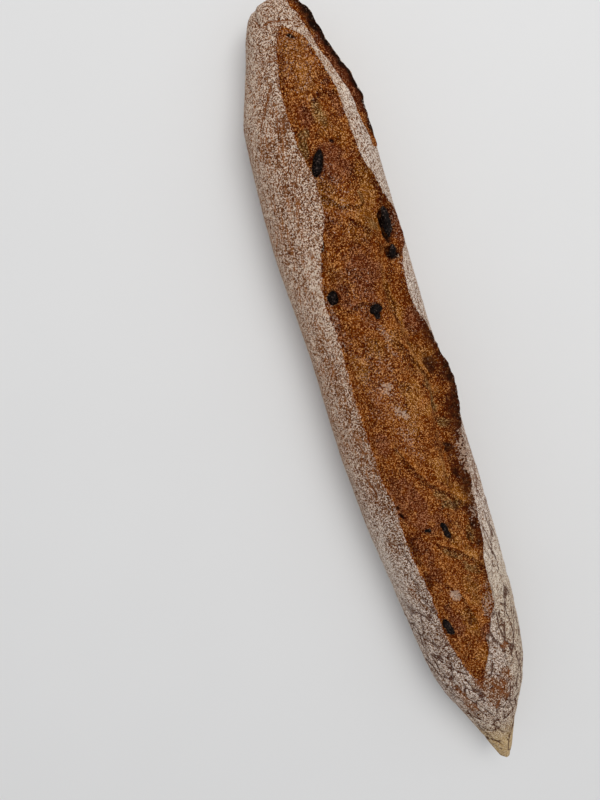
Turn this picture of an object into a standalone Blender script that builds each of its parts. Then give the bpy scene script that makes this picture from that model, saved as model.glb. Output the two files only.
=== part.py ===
"""A sourdough baguette with olives, lying flat: one solid loaf and the olive pieces that show in it.

The loaf lies along X, blunt end at -X and pointed end at +X, and stands on z = 0. One long score
has opened along its top, and its flap of crust, the ear, stands up on the +Y side. A short second
score opens over the shoulder of the blunt end. Named sizes are in millimetres; meshes are in metres.
"""

import math

import bmesh
import bpy
import numpy as np
from mathutils import Matrix, Vector, noise
from mathutils.bvhtree import BVHTree

MM = 0.001

# Driving dimensions of the loaf.
LENGTH = 430.0
HALF_LENGTH = LENGTH / 2
WIDEST_HALF = 33.6  # half the width of the skin at the widest place
CROWN_HEIGHT = 51.0  # top of the plain loaf over the board, there
CROWN_POWER = 0.75  # how the height follows the width: less than 1 keeps slim ends tall
WAIST_SHARE = 0.44  # height of the widest line, as a share of the crown's
TOP_POWER = 2.15  # superellipse power of the upper half, 2 is an ellipse
BASE_POWER = 2.6  # and of the lower half, which is squarer
BASE_CUT = 2.0  # depth of dough that settled flat on the baking stone
TIP_LIFT = 18.0  # height of the tips' middles over the stone
LIFT_FULL_WIDTH = 30.0  # half width from which the loaf lies down on the stone
LIFT_POWER = 1.5  # how suddenly the ends turn up
SIDE_SHIFT = 1.05  # moves the finished loaf to +Y, so that its box is centred on the origin

# Half the loaf's width at places along it, and how far its middle line strays sideways.
HALF_WIDTHS = (
    (-215, 0), (-214, 7), (-212, 11.5), (-205, 16), (-190, 20.8), (-175, 25.6), (-160, 29.8),
    (-130, 31.8), (-87, 32.8), (-50, 32), (0, 33.6), (40, 33.3), (87, 31.6), (130, 29),
    (149, 26.8), (161, 23.8), (173, 19), (184, 14.2), (196, 9.4), (208, 5), (213, 2.8), (215, 0),
)
MIDDLE_LINE = (
    (-215, 0.8), (-160, -1.6), (-125, -2.7), (-90, -3.0), (-30, -1.6),
    (40, -0.4), (90, 2.2), (150, 3.8), (215, 4.2),
)

# The long score: its left edge and the foot of its ear, as seen from above, and how open it is.
LEFT_EDGE = (
    (-215, -5), (-197, -5), (-184, -7.3), (-170, -10.4), (-156, -10.9), (-142, -10.5),
    (-126, -7.8), (-112, -8), (-100, -12), (-90, -16), (-67, -20.4), (-51, -19.2), (-20, -20),
    (23, -19.5), (41, -16.9), (58, -16.9), (94, -12.7), (113, -11.7), (133, -8), (142, -7),
    (150, -4.5), (175, -3), (215, 0),
)
EAR_FOOT = (
    (-215, 4), (-197, 5), (-189, 8.6), (-173, 12.4), (-162, 14.2), (-133, 14.5), (-112, 17.8),
    (-99, 19.7), (-90, 19.2), (-79, 16.8), (-69, 16.5), (-59, 17.5), (-47, 20.1), (-30, 22.5),
    (-15, 24.9), (-3, 23.6), (7, 22), (22, 21.6), (38, 20.3), (71, 19.5), (82, 17.3), (105, 17.1),
    (114, 12.6), (131, 7.9), (142, 5.6), (150, 5), (175, 6), (215, 7),
)
OPENNESS = (
    (-215, 0), (-199, 0), (-196, 0.55), (-190, 1), (128, 1), (142, 0.67), (149, 0.25), (153, 0), (215, 0),
)
EAR_HEIGHT = (
    (-199, 0), (-190, 0.8), (-154, 1.2), (-139, 2), (-124, 3.2), (-108, 4.4), (-92, 5.4),
    (-80, 4.2), (-68, 3.4), (-50, 4), (-25, 5.4), (0, 6), (20, 4.8), (50, 3.2), (80, 2),
    (113, 1.3), (140, 0.6), (153, 0),
)
LIP_STEP = 1.1  # the skin stands this far over the opened crumb at the left edge
LIP_REACH = (-0.3, 0.9)  # where that step starts and ends, from the edge line
DOME_RISE = 1.0  # the crumb swelled up again between the edges
LEAST_OPENING = 1.0  # a closed score still counts as this wide
VALLEY_SHARE = 0.5  # depth of the groove beside the ear, as a share of the ear's height
VALLEY_OFFSET = 6.0  # distance of that groove from the ear
VALLEY_REACH = 3.0  # half the groove's width
EAR_ROOT = 1.5  # the crumb runs out this far before the ear's crest
EAR_INNER = 3.0  # how far the ear's slope reaches towards the crumb
EAR_OUTER = 1.6  # and how steeply it drops back on to the flank
EAR_LEAN = 0.5  # sideways lean, as a share of the ear's height

# The second score: its upper edge from above, how high its own ear is, and the face between them.
SECOND_EDGE = (
    (-215, 5.5), (-209, 5.5), (-202, 9), (-196, 10), (-192, 11.6), (-182, 14), (-177, 16.6),
    (-170, 18.1), (-158, 21.6), (-147, 23), (-140, 24.9), (-125, 26), (-100, 27.2), (-70, 26.4),
    (-40, 28), (-10, 30.3), (20, 30), (60, 29.4), (90, 29), (110, 27), (131, 23), (150, 19),
    (175, 14), (215, 9),
)
SECOND_EAR_HEIGHT = ((-213, 0), (-208, 2.6), (-196, 3.2), (-165, 3), (-150, 2.4), (-138, 0.8), (-130, 0))
SECOND_FACE = 4.2
SECOND_FACE_FULL = 16.0  # half width of the loaf under which that face narrows
SECOND_STEP = 0.9
SECOND_CLEAR = 0.02  # least distance from the first ear to that edge, as a share of the way round

# Uneven dough: broad swellings over the whole loaf, and a ragged crest on each ear.
SWELL_HEIGHT = 0.5
SWELL_SIZE = 30.0
SMALL_SWELL_SHARE = 0.4
SMALL_SWELL_SIZE = 11.0
SETTLED = (1.0, 9.0)  # heights over the stone between which the swellings set in
RAGGED_SHARE = 0.35
RAGGED_SIZE = 7.0
RAGGED_PLACE = (3.7, 0.0)  # which line through the noise the crests follow
TIP_FADE = (3.0, 11.0)  # half widths of the loaf between which the relief sets in

STATIONS = 92
END_CROWDING = 0.6  # 0 spaces the stations evenly, 1 crowds them into the ends
FIRST_STATION = 0.9  # distance of the first ring from the tip
ROUND_SAMPLES = 721  # steps in which the way round the loaf is measured
EDGE_LIMIT = 0.985  # an edge line keeps within this share of the half width
# Places of the mesh's lines between one edge line and the next, as shares of that distance.
BASE_TO_LEFT = (0, 0.1, 0.2, 0.29, 0.38, 0.47, 0.56, 0.65, 0.74, 0.83, 0.91, 0.96)
LEFT_TO_EAR = (0, 0.03, 0.1, 0.21, 0.33, 0.45, 0.57, 0.68, 0.77, 0.85, 0.91, 0.96)
EAR_TO_SECOND = (0, 0.14, 0.34, 0.7)
SECOND_TO_FOOT = (0, 0.35, 0.7)
FOOT_TO_BASE = (0, 0.03, 0.07, 0.14, 0.24, 0.34, 0.44, 0.54, 0.65, 0.76, 0.88)

# Olive pieces: place from above, length, width, thickness, turn from +X in degrees, how much stands out.
OLIVES = {
    "olive_1": (-133, -3.2, 14.5, 6.0, 5.5, -29, 0.9),
    "olive_2": (-98, 20.6, 15.5, 4.2, 4.2, -2, 0.7),
    "olive_3": (-84, 19.2, 6.6, 3.2, 3.4, -10, 0.6),
    "olive_4": (-71, -14.8, 8.8, 6.6, 5.0, -17, 0.5),
    "olive_5": (-59, 3.5, 9.6, 6.8, 5.5, -12, 1.0),
    "olive_6": (59, 5.1, 12.0, 4.2, 4.4, 17, 0.7),
    "olive_7": (56, -3.9, 5.0, 3.2, 3.4, 80, 0.5),
    "olive_8": (113, -7.6, 11.5, 5.2, 5.0, 13, 0.9),
}
OLIVE_ROUND = 12
OLIVE_RINGS = 7
OLIVE_LUMPS = 0.14
OLIVE_LUMP_RATE = 1.6  # lumps along half the length of a piece, roughly
POCKET_GAP = 0.38  # clear space left round an olive piece in its pocket

CRUST_COLOUR = (0.42, 0.33, 0.27)
CRUST_ROUGHNESS = 0.85
OLIVE_COLOUR = (0.012, 0.011, 0.014)
OLIVE_ROUGHNESS = 0.35
TINY = 1e-12


def clear_scene():
    for item in list(bpy.data.objects):
        bpy.data.objects.remove(item, do_unlink=True)


def through(points):
    """A smooth curve through (place, value) points, which never overshoots between them."""
    place, value = np.array(points, float).T
    gap = np.diff(place)
    slope = np.diff(value) / gap
    tangent = np.concatenate(([slope[0]], np.zeros(len(gap) - 1), [slope[-1]]))
    for i in range(1, len(gap)):
        if slope[i - 1] * slope[i] > 0:
            before = 2 * gap[i] + gap[i - 1]
            after = gap[i] + 2 * gap[i - 1]
            tangent[i] = (before + after) / (before / slope[i - 1] + after / slope[i])

    def curve(x):
        x = np.clip(np.asarray(x, float), place[0], place[-1])
        i = np.clip(np.searchsorted(place, x, side="right") - 1, 0, len(gap) - 1)
        s = (x - place[i]) / gap[i]
        rise = s * s * (3 - 2 * s)
        return (
            value[i] + (value[i + 1] - value[i]) * rise
            + gap[i] * (tangent[i] * s * (1 - s) ** 2 - tangent[i + 1] * s * s * (1 - s))
        )

    return curve


half_width = through(HALF_WIDTHS)
middle_line = through(MIDDLE_LINE)
left_edge = through(LEFT_EDGE)
ear_foot = through(EAR_FOOT)
openness = through(OPENNESS)
ear_height = through(EAR_HEIGHT)
second_edge = through(SECOND_EDGE)
second_ear_height = through(SECOND_EAR_HEIGHT)


def powered(base, power):
    return np.sign(base) * np.abs(base) ** power


def plain_loaf(x, angle):
    """A point on the unscored loaf: x along it, angle round it from the ear's side over the top."""
    half = half_width(x)
    height = CROWN_HEIGHT * (half / WIDEST_HALF) ** CROWN_POWER
    lift = TIP_LIFT * np.clip(1 - half / LIFT_FULL_WIDTH, 0, 1) ** LIFT_POWER
    waist = WAIST_SHARE * height
    side, up = np.cos(angle), np.sin(angle)
    top = waist + (height - waist) * np.abs(up) ** (2 / TOP_POWER)
    base = waist - (waist + BASE_CUT) * np.abs(up) ** (2 / BASE_POWER)
    y = middle_line(x) + half * powered(side, 2 / TOP_POWER)
    z = lift + np.where(up >= 0, top, np.maximum(base, 0))
    return np.stack(np.broadcast_arrays(x, y, z), -1)


def plain_normal(x, angle):
    """Outward direction of the unscored loaf, from two short steps on it."""
    step = 1e-3
    along = plain_loaf(x + step, angle) - plain_loaf(x - step, angle)
    around = plain_loaf(x, angle + step) - plain_loaf(x, angle - step)
    normal = np.cross(around, along)
    normal /= np.linalg.norm(normal, axis=-1, keepdims=True) + TINY
    outward = -around / (np.linalg.norm(around, axis=-1, keepdims=True) + TINY)
    return normal, outward


def angle_of(x, y):
    """The angle on the loaf's top that lies under plan position y."""
    share = np.clip((y - middle_line(x)) / half_width(x), -EDGE_LIMIT, EDGE_LIMIT)
    return np.arccos(powered(share, TOP_POWER / 2))


def station_places():
    """Places of the rings along the loaf, closer together towards both ends."""
    t = np.linspace(0, 1, STATIONS)
    even = 2 * t - 1
    crowded = -np.cos(math.pi * t)
    return (HALF_LENGTH - FIRST_STATION) * (even + END_CROWDING * (crowded - even))


def section_lines(x):
    """For one ring: the angle of each mesh line, and its distance round the loaf from each edge line."""
    sweep = np.radians(np.linspace(270, -90, ROUND_SAMPLES))
    ring = plain_loaf(np.full_like(sweep, x), sweep)
    travelled = np.concatenate(([0], np.cumsum(np.linalg.norm(np.diff(ring, axis=0), axis=1))))

    def arc_at(angle):
        return float(np.interp(-angle, -sweep, travelled))

    left = arc_at(angle_of(x, left_edge(x)))
    ear = arc_at(angle_of(x, ear_foot(x)))
    second = max(arc_at(angle_of(x, second_edge(x))), ear + SECOND_CLEAR * travelled[-1])
    foot = second + SECOND_FACE * min(1.0, half_width(x) / SECOND_FACE_FULL)
    stops = (0.0, left, ear, second, foot, travelled[-1])
    arcs = []
    shares = (BASE_TO_LEFT, LEFT_TO_EAR, EAR_TO_SECOND, SECOND_TO_FOOT, FOOT_TO_BASE)
    for start, end, places in zip(stops[:-1], stops[1:], shares):
        arcs.extend(start + (end - start) * place for place in places)
    arcs = np.array(arcs)
    closed = (1 - openness(x)) / 2 * (ear - left)
    edges = {"left": left + closed, "ear": ear - closed, "second": second, "foot": foot}
    return np.interp(arcs, travelled, sweep), {name: arcs - at for name, at in edges.items()}


def ridge(distance):
    """Cross-section of an ear: a long slope on the crumb's side and a steep drop on the other."""
    return np.exp(-((distance / np.where(distance < 0, EAR_INNER, EAR_OUTER)) ** 2))


def smooth_step(value, start, end):
    s = np.clip((value - start) / (end - start), 0, 1)
    return s * s * (3 - 2 * s)


def ragged(x):
    """An uneven factor about 1 for the height of an ear's crest."""
    return 1 + RAGGED_SHARE * noise.noise((x / RAGGED_SIZE, *RAGGED_PLACE))


def score_relief(x, distance):
    """How far the scores lift each point out of the plain loaf, and push it towards the ear's side."""
    ear = ear_height(x) * ragged(x)
    inside = smooth_step(distance["left"], *LIP_REACH) * smooth_step(-distance["ear"], 0, EAR_ROOT)
    width = np.maximum(distance["left"] - distance["ear"], LEAST_OPENING)
    share = np.clip(distance["left"] / width, 0, 1)
    dome = 4 * share * (1 - share)
    crumb = inside * openness(x) * (DOME_RISE * dome - LIP_STEP)
    valley = -VALLEY_SHARE * ear * np.exp(-(((distance["ear"] + VALLEY_OFFSET) / VALLEY_REACH) ** 2))
    first = ear * ridge(distance["ear"])
    second = second_ear_height(x) * ragged(x + LENGTH)
    face = smooth_step(distance["second"], *LIP_REACH) * smooth_step(-distance["foot"], 0, EAR_ROOT)
    sunk = SECOND_STEP * min(1.0, second) * face
    raised = second * ridge(distance["foot"])
    return crumb + valley + first + raised - sunk, EAR_LEAN * (first + raised)


def swelling(point):
    """Broad unevenness of hand-shaped dough, none of it where the loaf lies on the stone."""
    place = Vector(point)
    small = SMALL_SWELL_SHARE * noise.noise(place / SMALL_SWELL_SIZE)
    return SWELL_HEIGHT * (noise.noise(place / SWELL_SIZE) + small) * smooth_step(point[2], *SETTLED)


def loaf_ring(x):
    angles, distance = section_lines(x)
    places = np.full_like(angles, x)
    plain = plain_loaf(places, angles)
    normal, outward = plain_normal(places, angles)
    rise, sideways = score_relief(x, distance)
    fade = smooth_step(half_width(x), *TIP_FADE)
    rise = fade * (rise + np.array([swelling(point) for point in plain]))
    ring = plain + normal * rise[:, None] + outward * (fade * sideways)[:, None]
    ring[:, 2] = np.maximum(ring[:, 2], 0)
    ring[:, 1] += SIDE_SHIFT
    return ring


def mesh_object(name, vertices, faces, colour, roughness):
    mesh = bpy.data.meshes.new(name)
    mesh.from_pydata([tuple(float(value) * MM for value in vertex) for vertex in vertices], [], faces)
    made = bpy.data.objects.new(name, mesh)
    bpy.context.collection.objects.link(made)
    mesh.materials.append(finish(name, colour, roughness))
    face_outwards(mesh)
    return made


def face_outwards(mesh):
    shell = bmesh.new()
    shell.from_mesh(mesh)
    bmesh.ops.triangulate(shell, faces=shell.faces)
    bmesh.ops.recalc_face_normals(shell, faces=shell.faces)
    shell.to_mesh(mesh)
    shell.free()
    mesh.shade_smooth()


def finish(name, colour, roughness):
    material = bpy.data.materials.new(name)
    material.use_nodes = True
    surface = material.node_tree.nodes["Principled BSDF"]
    surface.inputs["Base Color"].default_value = (*colour, 1)
    surface.inputs["Roughness"].default_value = roughness
    surface.inputs["Metallic"].default_value = 0
    return material


def bridged_rings(rings, first_tip, last_tip):
    """Vertices and faces of a closed skin through rings of equal count, with a point at each end."""
    count = len(rings[0])
    vertices = [point for ring in rings for point in ring] + [first_tip, last_tip]
    faces = []
    for i in range(len(rings) - 1):
        for j in range(count):
            k = (j + 1) % count
            faces.append((i * count + j, i * count + k, (i + 1) * count + k, (i + 1) * count + j))
    last = (len(rings) - 1) * count
    for j in range(count):
        k = (j + 1) % count
        faces.append((len(vertices) - 2, k, j))
        faces.append((len(vertices) - 1, last + j, last + k))
    return vertices, faces


def make_loaf():
    rings = [loaf_ring(x) for x in station_places()]
    tips = [(end, middle_line(end) + SIDE_SHIFT, TIP_LIFT) for end in (-HALF_LENGTH, HALF_LENGTH)]
    vertices, faces = bridged_rings(rings, *tips)
    return mesh_object("loaf", vertices, faces, CRUST_COLOUR, CRUST_ROUGHNESS)


def olive_shape(seed, size, gap):
    """Rings of a lumpy pebble of that size, grown by gap all over."""
    half = np.array(size) / 2
    rings = []
    for i in range(1, OLIVE_RINGS):
        polar = math.pi * i / OLIVE_RINGS
        ring = []
        for j in range(OLIVE_ROUND):
            turn = 2 * math.pi * j / OLIVE_ROUND
            across, up = math.sin(polar) * math.cos(turn), math.sin(polar) * math.sin(turn)
            unit = Vector((-math.cos(polar), across, up))
            lump = 1 + OLIVE_LUMPS * noise.noise(unit * OLIVE_LUMP_RATE + Vector((seed, 0, 0)))
            ring.append(np.array(unit * lump) * (half + gap))
        rings.append(ring)
    tips = [np.array((end * (half[0] + gap), 0.0, 0.0)) for end in (-1, 1)]
    return bridged_rings(rings, *tips)


def olive_seat(surface, x, y, turn, thickness, proud):
    """Where an olive piece sits: turned in plan, tipped with the crust, and sunk into it."""
    hit, normal, _, _ = surface.ray_cast(Vector((x, y, 2 * CROWN_HEIGHT)), Vector((0, 0, -1)))
    along = Vector((math.cos(math.radians(turn)), math.sin(math.radians(turn)), 0))
    along = (along - normal * along.dot(normal)).normalized()
    across = normal.cross(along)
    centre = hit + normal * (proud - thickness / 2)
    seat = Matrix((along, across, normal)).transposed()
    return centre, seat


def placed(vertices, centre, seat):
    return [centre + seat @ Vector(point) for point in vertices]


def loaf_surface(loaf):
    points = [vertex.co / MM for vertex in loaf.data.vertices]
    return BVHTree.FromPolygons(points, [tuple(face.vertices) for face in loaf.data.polygons])


def make_olives(loaf):
    """Each olive piece, and a pocket for it in the loaf that keeps clear of it."""
    surface = loaf_surface(loaf)
    for number, (name, facts) in enumerate(OLIVES.items()):
        x, y, length, width, thickness, turn, proud = facts
        centre, seat = olive_seat(surface, x, y, turn, thickness, proud)
        size = (length, width, thickness)
        vertices, faces = olive_shape(number, size, 0.0)
        mesh_object(name, placed(vertices, centre, seat), faces, OLIVE_COLOUR, OLIVE_ROUGHNESS)
        vertices, faces = olive_shape(number, size, POCKET_GAP)
        pocket = placed(vertices, centre, seat)
        cut_pocket(loaf, mesh_object(name + "_pocket", pocket, faces, CRUST_COLOUR, CRUST_ROUGHNESS))


def cut_pocket(loaf, cutter):
    cutter.hide_render = True
    cutter.display_type = "WIRE"
    cut = loaf.modifiers.new(cutter.name, "BOOLEAN")
    cut.operation = "DIFFERENCE"
    cut.solver = "EXACT"
    cut.object = cutter


def main():
    clear_scene()
    loaf = make_loaf()
    make_olives(loaf)


main()
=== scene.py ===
# %% [markdown]
# # A floured sourdough loaf with olives
#
# This file dresses the plain solids of a slim sourdough loaf until they look baked. The frame below
# brings in those solids, at their real size and in their places. Nothing in it is moved: the loaf and
# each olive piece are replaced here by finer meshes of the same form, with their own materials.
#
# The loaf lies along X with its blunt end at -X and its pointed end at +X. Z is up, and the ground is
# at z = 0. Sizes are written in millimetres and turned into Blender's metres when a mesh is made.

# %% Open the frame
import math

import bmesh
import bpy
import numpy as np
from mathutils import Matrix, Vector, noise


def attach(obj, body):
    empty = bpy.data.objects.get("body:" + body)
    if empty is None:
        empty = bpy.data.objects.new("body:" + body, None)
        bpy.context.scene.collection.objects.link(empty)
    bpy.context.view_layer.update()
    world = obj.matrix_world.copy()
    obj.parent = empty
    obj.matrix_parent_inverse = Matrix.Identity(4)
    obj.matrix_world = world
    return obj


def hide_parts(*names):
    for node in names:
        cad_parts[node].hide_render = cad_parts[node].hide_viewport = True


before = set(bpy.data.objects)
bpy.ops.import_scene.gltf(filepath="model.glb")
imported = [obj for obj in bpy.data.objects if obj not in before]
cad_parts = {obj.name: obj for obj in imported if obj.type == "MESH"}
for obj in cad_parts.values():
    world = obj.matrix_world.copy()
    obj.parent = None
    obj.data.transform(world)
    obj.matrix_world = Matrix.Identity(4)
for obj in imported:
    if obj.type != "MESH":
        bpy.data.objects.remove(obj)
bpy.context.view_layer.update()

MM = 0.001
OLIVES = sorted(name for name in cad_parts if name.startswith("olive"))
print("frame:", len(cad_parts), "solids, of which", len(OLIVES), "olive pieces")

# %% [markdown]
# ## The camera
#
# The loaf was photographed from above, by a camera held 41 cm over the ground and leaning 10 degrees
# towards the pointed end. It was also rolled by 18 degrees, so that the loaf runs down the picture at
# a slant. A camera's own axes say all of this at once: where its right, its top and its back point.
# That is why the matrix is built from axes here, and not from angles.

# %% Place the camera
CAMERA_PLACE = Vector((-92.9, -45.0, 411.1)) * MM
CAMERA_LEAN = math.radians(10)
CAMERA_ROLL = math.radians(18)
SENSOR_HEIGHT = 24.0
FOCAL_LENGTH = 22.5
NEAREST_SEEN = 0.01  # in metres


def new_object(name, data):
    """An object that stands in the scene with this mesh, lamp or lens."""
    made = bpy.data.objects.new(name, data)
    bpy.context.collection.objects.link(made)
    return made


def camera_axes():
    """Right, up and back of a camera that looks down, leans towards +X and is rolled."""
    back = Vector((-math.sin(CAMERA_LEAN), 0, math.cos(CAMERA_LEAN)))
    level_up = Vector((-back.z, 0, back.x))
    level_right = level_up.cross(back)
    right = level_right * math.cos(CAMERA_ROLL) - level_up * math.sin(CAMERA_ROLL)
    return right, back.cross(right), back


def add_camera():
    lens = bpy.data.cameras.new("camera")
    lens.sensor_fit = "VERTICAL"
    lens.sensor_height = SENSOR_HEIGHT
    lens.lens = FOCAL_LENGTH
    lens.clip_start = NEAREST_SEEN
    made = new_object("camera", lens)
    made.matrix_world = Matrix.Translation(CAMERA_PLACE) @ Matrix(camera_axes()).transposed().to_4x4()
    bpy.context.scene.camera = made


add_camera()
print("camera axes:", [tuple(round(part, 3) for part in axis) for axis in camera_axes()])

# %% [markdown]
# ## Wiring nodes
#
# Every finish below is a tree of nodes. Small helpers keep those trees readable: one adds a node and
# wires it up, some do sums, one gives speckle of a known size in millimetres, and one turns a slow
# change into a crisp one. All patterns are placed by Object coordinates, which stay with the piece.

# %% Helpers for nodes


def new_material(name):
    """A material, its tree and its shader."""
    material = bpy.data.materials.new(name)
    material.use_nodes = True
    return material, material.node_tree, material.node_tree.nodes["Principled BSDF"]


def plug(node, sockets):
    """Gives each named socket a plain value, or the output of another node in the same tree."""
    for name, value in sockets.items():
        if isinstance(value, bpy.types.NodeSocket):
            node.id_data.links.new(value, node.inputs[name])
        else:
            node.inputs[name].default_value = value


def wired(kind, sockets, tree=None, **settings):
    """Adds a node and plugs it in. A node that takes no other's output has to be told its tree."""
    if tree is None:
        tree = next(value.id_data for value in sockets.values() if isinstance(value, bpy.types.NodeSocket))
    node = tree.nodes.new(kind)
    for name, value in settings.items():
        setattr(node, name, value)
    plug(node, sockets)
    return node


def worked(operation, first, second=0.0):
    return wired("ShaderNodeMath", {0: first, 1: second}, operation=operation).outputs[0]


def times(first, second):
    return worked("MULTIPLY", first, second)


def minus(first, second):
    return worked("SUBTRACT", first, second)


def plus(total, *others):
    for amount in others:
        total = worked("ADD", total, amount)
    return total


def object_place(tree, pressed=1.0, turn=0.0):
    """Where a point is on the piece. Pressing X together draws a pattern out along the loaf."""
    place = tree.nodes.new("ShaderNodeTexCoord").outputs["Object"]
    if turn:
        sockets = {"Vector": place, "Angle": math.radians(turn)}
        place = wired("ShaderNodeVectorRotate", sockets).outputs[0]
    if pressed == 1:
        return place
    return wired("ShaderNodeMapping", {"Vector": place, "Scale": (pressed, 1, 1)}).outputs["Vector"]


def speckle(place, size, detail=2.0):
    """Noise between 0 and 1 whose lumps are about that many millimetres across."""
    sockets = {"Vector": place, "Scale": 1 / (size * MM), "Detail": detail}
    return wired("ShaderNodeTexNoise", sockets).outputs["Fac"]


def crisp(value, low, high):
    """0 on the low side, 1 on the high side, and smooth between them. Low may be the greater number."""
    sockets = {"Value": value, "From Min": low, "From Max": high}
    return wired("ShaderNodeMapRange", sockets, interpolation_type="SMOOTHSTEP").outputs["Result"]


def blend(factor, first, second):
    """From the first colour to the second as factor goes from 0 to 1."""
    return wired("ShaderNodeMix", {0: factor, 6: first, 7: second}, data_type="RGBA").outputs[2]


def tinted(colour, amount, share, tint):
    """The colour, moved towards a tint by amount times share."""
    return blend(times(amount, share), colour, tint)


def tone(red, green, blue):
    """The linear colour of a 0 to 255 shade, as a paint chart gives it."""
    shades = np.array((red, green, blue)) / 255
    linear = np.where(shades > 0.04045, ((shades + 0.055) / 1.055) ** 2.4, shades / 12.92)
    return (*(float(part) for part in linear), 1.0)


def ramp(value, shades):
    """Shades spread evenly along a scale from 0 to 1."""
    node = wired("ShaderNodeValToRGB", {"Fac": value})
    elements = node.color_ramp.elements
    while len(elements) < len(shades):
        elements.new(0.5)
    for index, (element, shade) in enumerate(zip(elements, shades)):
        element.position = index / (len(shades) - 1)
        element.color = tone(*shade)
    return node.outputs["Color"]


def painted(tree, name):
    """A value that was stored on the mesh's points."""
    return wired("ShaderNodeAttribute", {}, tree, attribute_name=name).outputs["Fac"]


print("a middle grey is", round(tone(128, 128, 128)[0], 3), "in linear light")

# %% [markdown]
# ## The ground and the light
#
# The loaf lies on plain pale ground. A wide lamp stands to the ear's side and behind the blunt end,
# so shadows are soft and fall towards the other side. An even pale sky fills them in.

# %% Lay the ground and hang the lamp
GROUND_SIZE = 6.0
GROUND_TONE = (228, 227, 225)
GROUND_CLOUD = 90.0
GROUND_DARKER = 0.97  # its darkest shade, as a share of its palest
GROUND_ROUGHNESS = 0.7
SKY_TONE = (236, 238, 242)
SKY_STRENGTH = 0.62
LAMP_PLACE = Vector((-0.5, 0.35, 1.4))
LAMP_AIM = Vector((0.0, 0.0, 0.03))
LAMP_SIZE = 1.0
LAMP_WATTS = 12.0


def add_ground():
    half = GROUND_SIZE / 2
    mesh = bpy.data.meshes.new("ground")
    corners = [(-half, -half, 0), (half, -half, 0), (half, half, 0), (-half, half, 0)]
    mesh.from_pydata(corners, [], [(0, 1, 2, 3)])
    made = new_object("ground", mesh)
    material, tree, shader = new_material("ground_paint")
    pale = tone(*GROUND_TONE)
    darker = (*(part * GROUND_DARKER for part in pale[:3]), 1.0)
    cloud = speckle(object_place(tree), GROUND_CLOUD)
    plug(shader, {"Base Color": blend(cloud, darker, pale), "Roughness": GROUND_ROUGHNESS})
    mesh.materials.append(material)


def add_lamp():
    lamp = bpy.data.lights.new("key", "AREA")
    lamp.size = LAMP_SIZE
    lamp.energy = LAMP_WATTS
    made = new_object("key", lamp)
    made.location = LAMP_PLACE
    made.rotation_euler = (LAMP_AIM - LAMP_PLACE).to_track_quat("-Z", "Y").to_euler()


def set_sky():
    world = bpy.data.worlds.new("sky")
    world.use_nodes = True
    plug(world.node_tree.nodes["Background"], {"Color": tone(*SKY_TONE), "Strength": SKY_STRENGTH})
    bpy.context.scene.world = world


add_ground()
add_lamp()
set_sky()
bpy.context.scene.view_settings.view_transform = "Standard"
print("ground and light are set")

# %% [markdown]
# ## The plain loaf
#
# A shaped loaf is a tube whose width changes along its length. It could be sculpted, but a rule is
# better here: every ring of the tube is a flattened superellipse, and curves through a few measured
# widths say how wide each ring is. The values are the ones that the solid was made from, so the fine
# mesh lands on it.

# %% Curves through measured points


def through(points):
    """A smooth curve through (place, value) points, which never overshoots between them."""
    place, value = np.array(points, float).T
    gap = np.diff(place)
    slope = np.diff(value) / gap
    tangent = np.concatenate(([slope[0]], np.zeros(len(gap) - 1), [slope[-1]]))
    for i in range(1, len(gap)):
        if slope[i - 1] * slope[i] > 0:
            before = 2 * gap[i] + gap[i - 1]
            after = gap[i] + 2 * gap[i - 1]
            tangent[i] = (before + after) / (before / slope[i - 1] + after / slope[i])

    def curve(x):
        x = np.clip(np.asarray(x, float), place[0], place[-1])
        i = np.clip(np.searchsorted(place, x, side="right") - 1, 0, len(gap) - 1)
        s = (x - place[i]) / gap[i]
        rise = s * s * (3 - 2 * s)
        bend = tangent[i] * s * (1 - s) ** 2 - tangent[i + 1] * s * s * (1 - s)
        return value[i] + (value[i + 1] - value[i]) * rise + gap[i] * bend

    return curve


print("halfway up a curve from 0 to 1:", through(((0, 0), (1, 1)))(0.5))

# %% Sizes of the loaf
LENGTH = 430.0
HALF_LENGTH = LENGTH / 2
WIDEST_HALF = 33.6
CROWN_HEIGHT = 51.0
CROWN_POWER = 0.75  # narrower rings are lower too, but by a smaller share
WAIST_SHARE = 0.44  # a ring is widest at this share of its height
TOP_POWER = 2.15
BASE_POWER = 2.6
BASE_CUT = 2.0  # the base would reach this far below the ground, and is cut flat there
TIP_LIFT = 18.0
LIFT_FULL_WIDTH = 30.0  # rings lie on the ground where their half width is at least this
LIFT_POWER = 1.5
SIDE_SHIFT = 1.05  # the solid lies this far over to the ear's side
half_width = through((
    (-215, 0), (-214, 7), (-212, 11.5), (-205, 16), (-190, 20.8), (-175, 25.6), (-160, 29.8),
    (-130, 31.8), (-87, 32.8), (-50, 32), (0, 33.6), (40, 33.3), (87, 31.6), (130, 29), (149, 26.8),
    (161, 23.8), (173, 19), (184, 14.2), (196, 9.4), (208, 5), (213, 2.8), (215, 0),
))
middle_line = through((
    (-215, 0.8), (-160, -1.6), (-125, -2.7), (-90, -3.0), (-30, -1.6), (40, -0.4), (90, 2.2), (150, 3.8),
    (215, 4.2),
))
print("half width in the middle:", half_width(0), "mm")

# %% One ring of the plain loaf
TINY_STEP = 1e-3
NEVER_ZERO = 1e-12  # keeps a division safe


def powered(base, power):
    return np.sign(base) * np.abs(base) ** power


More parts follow.
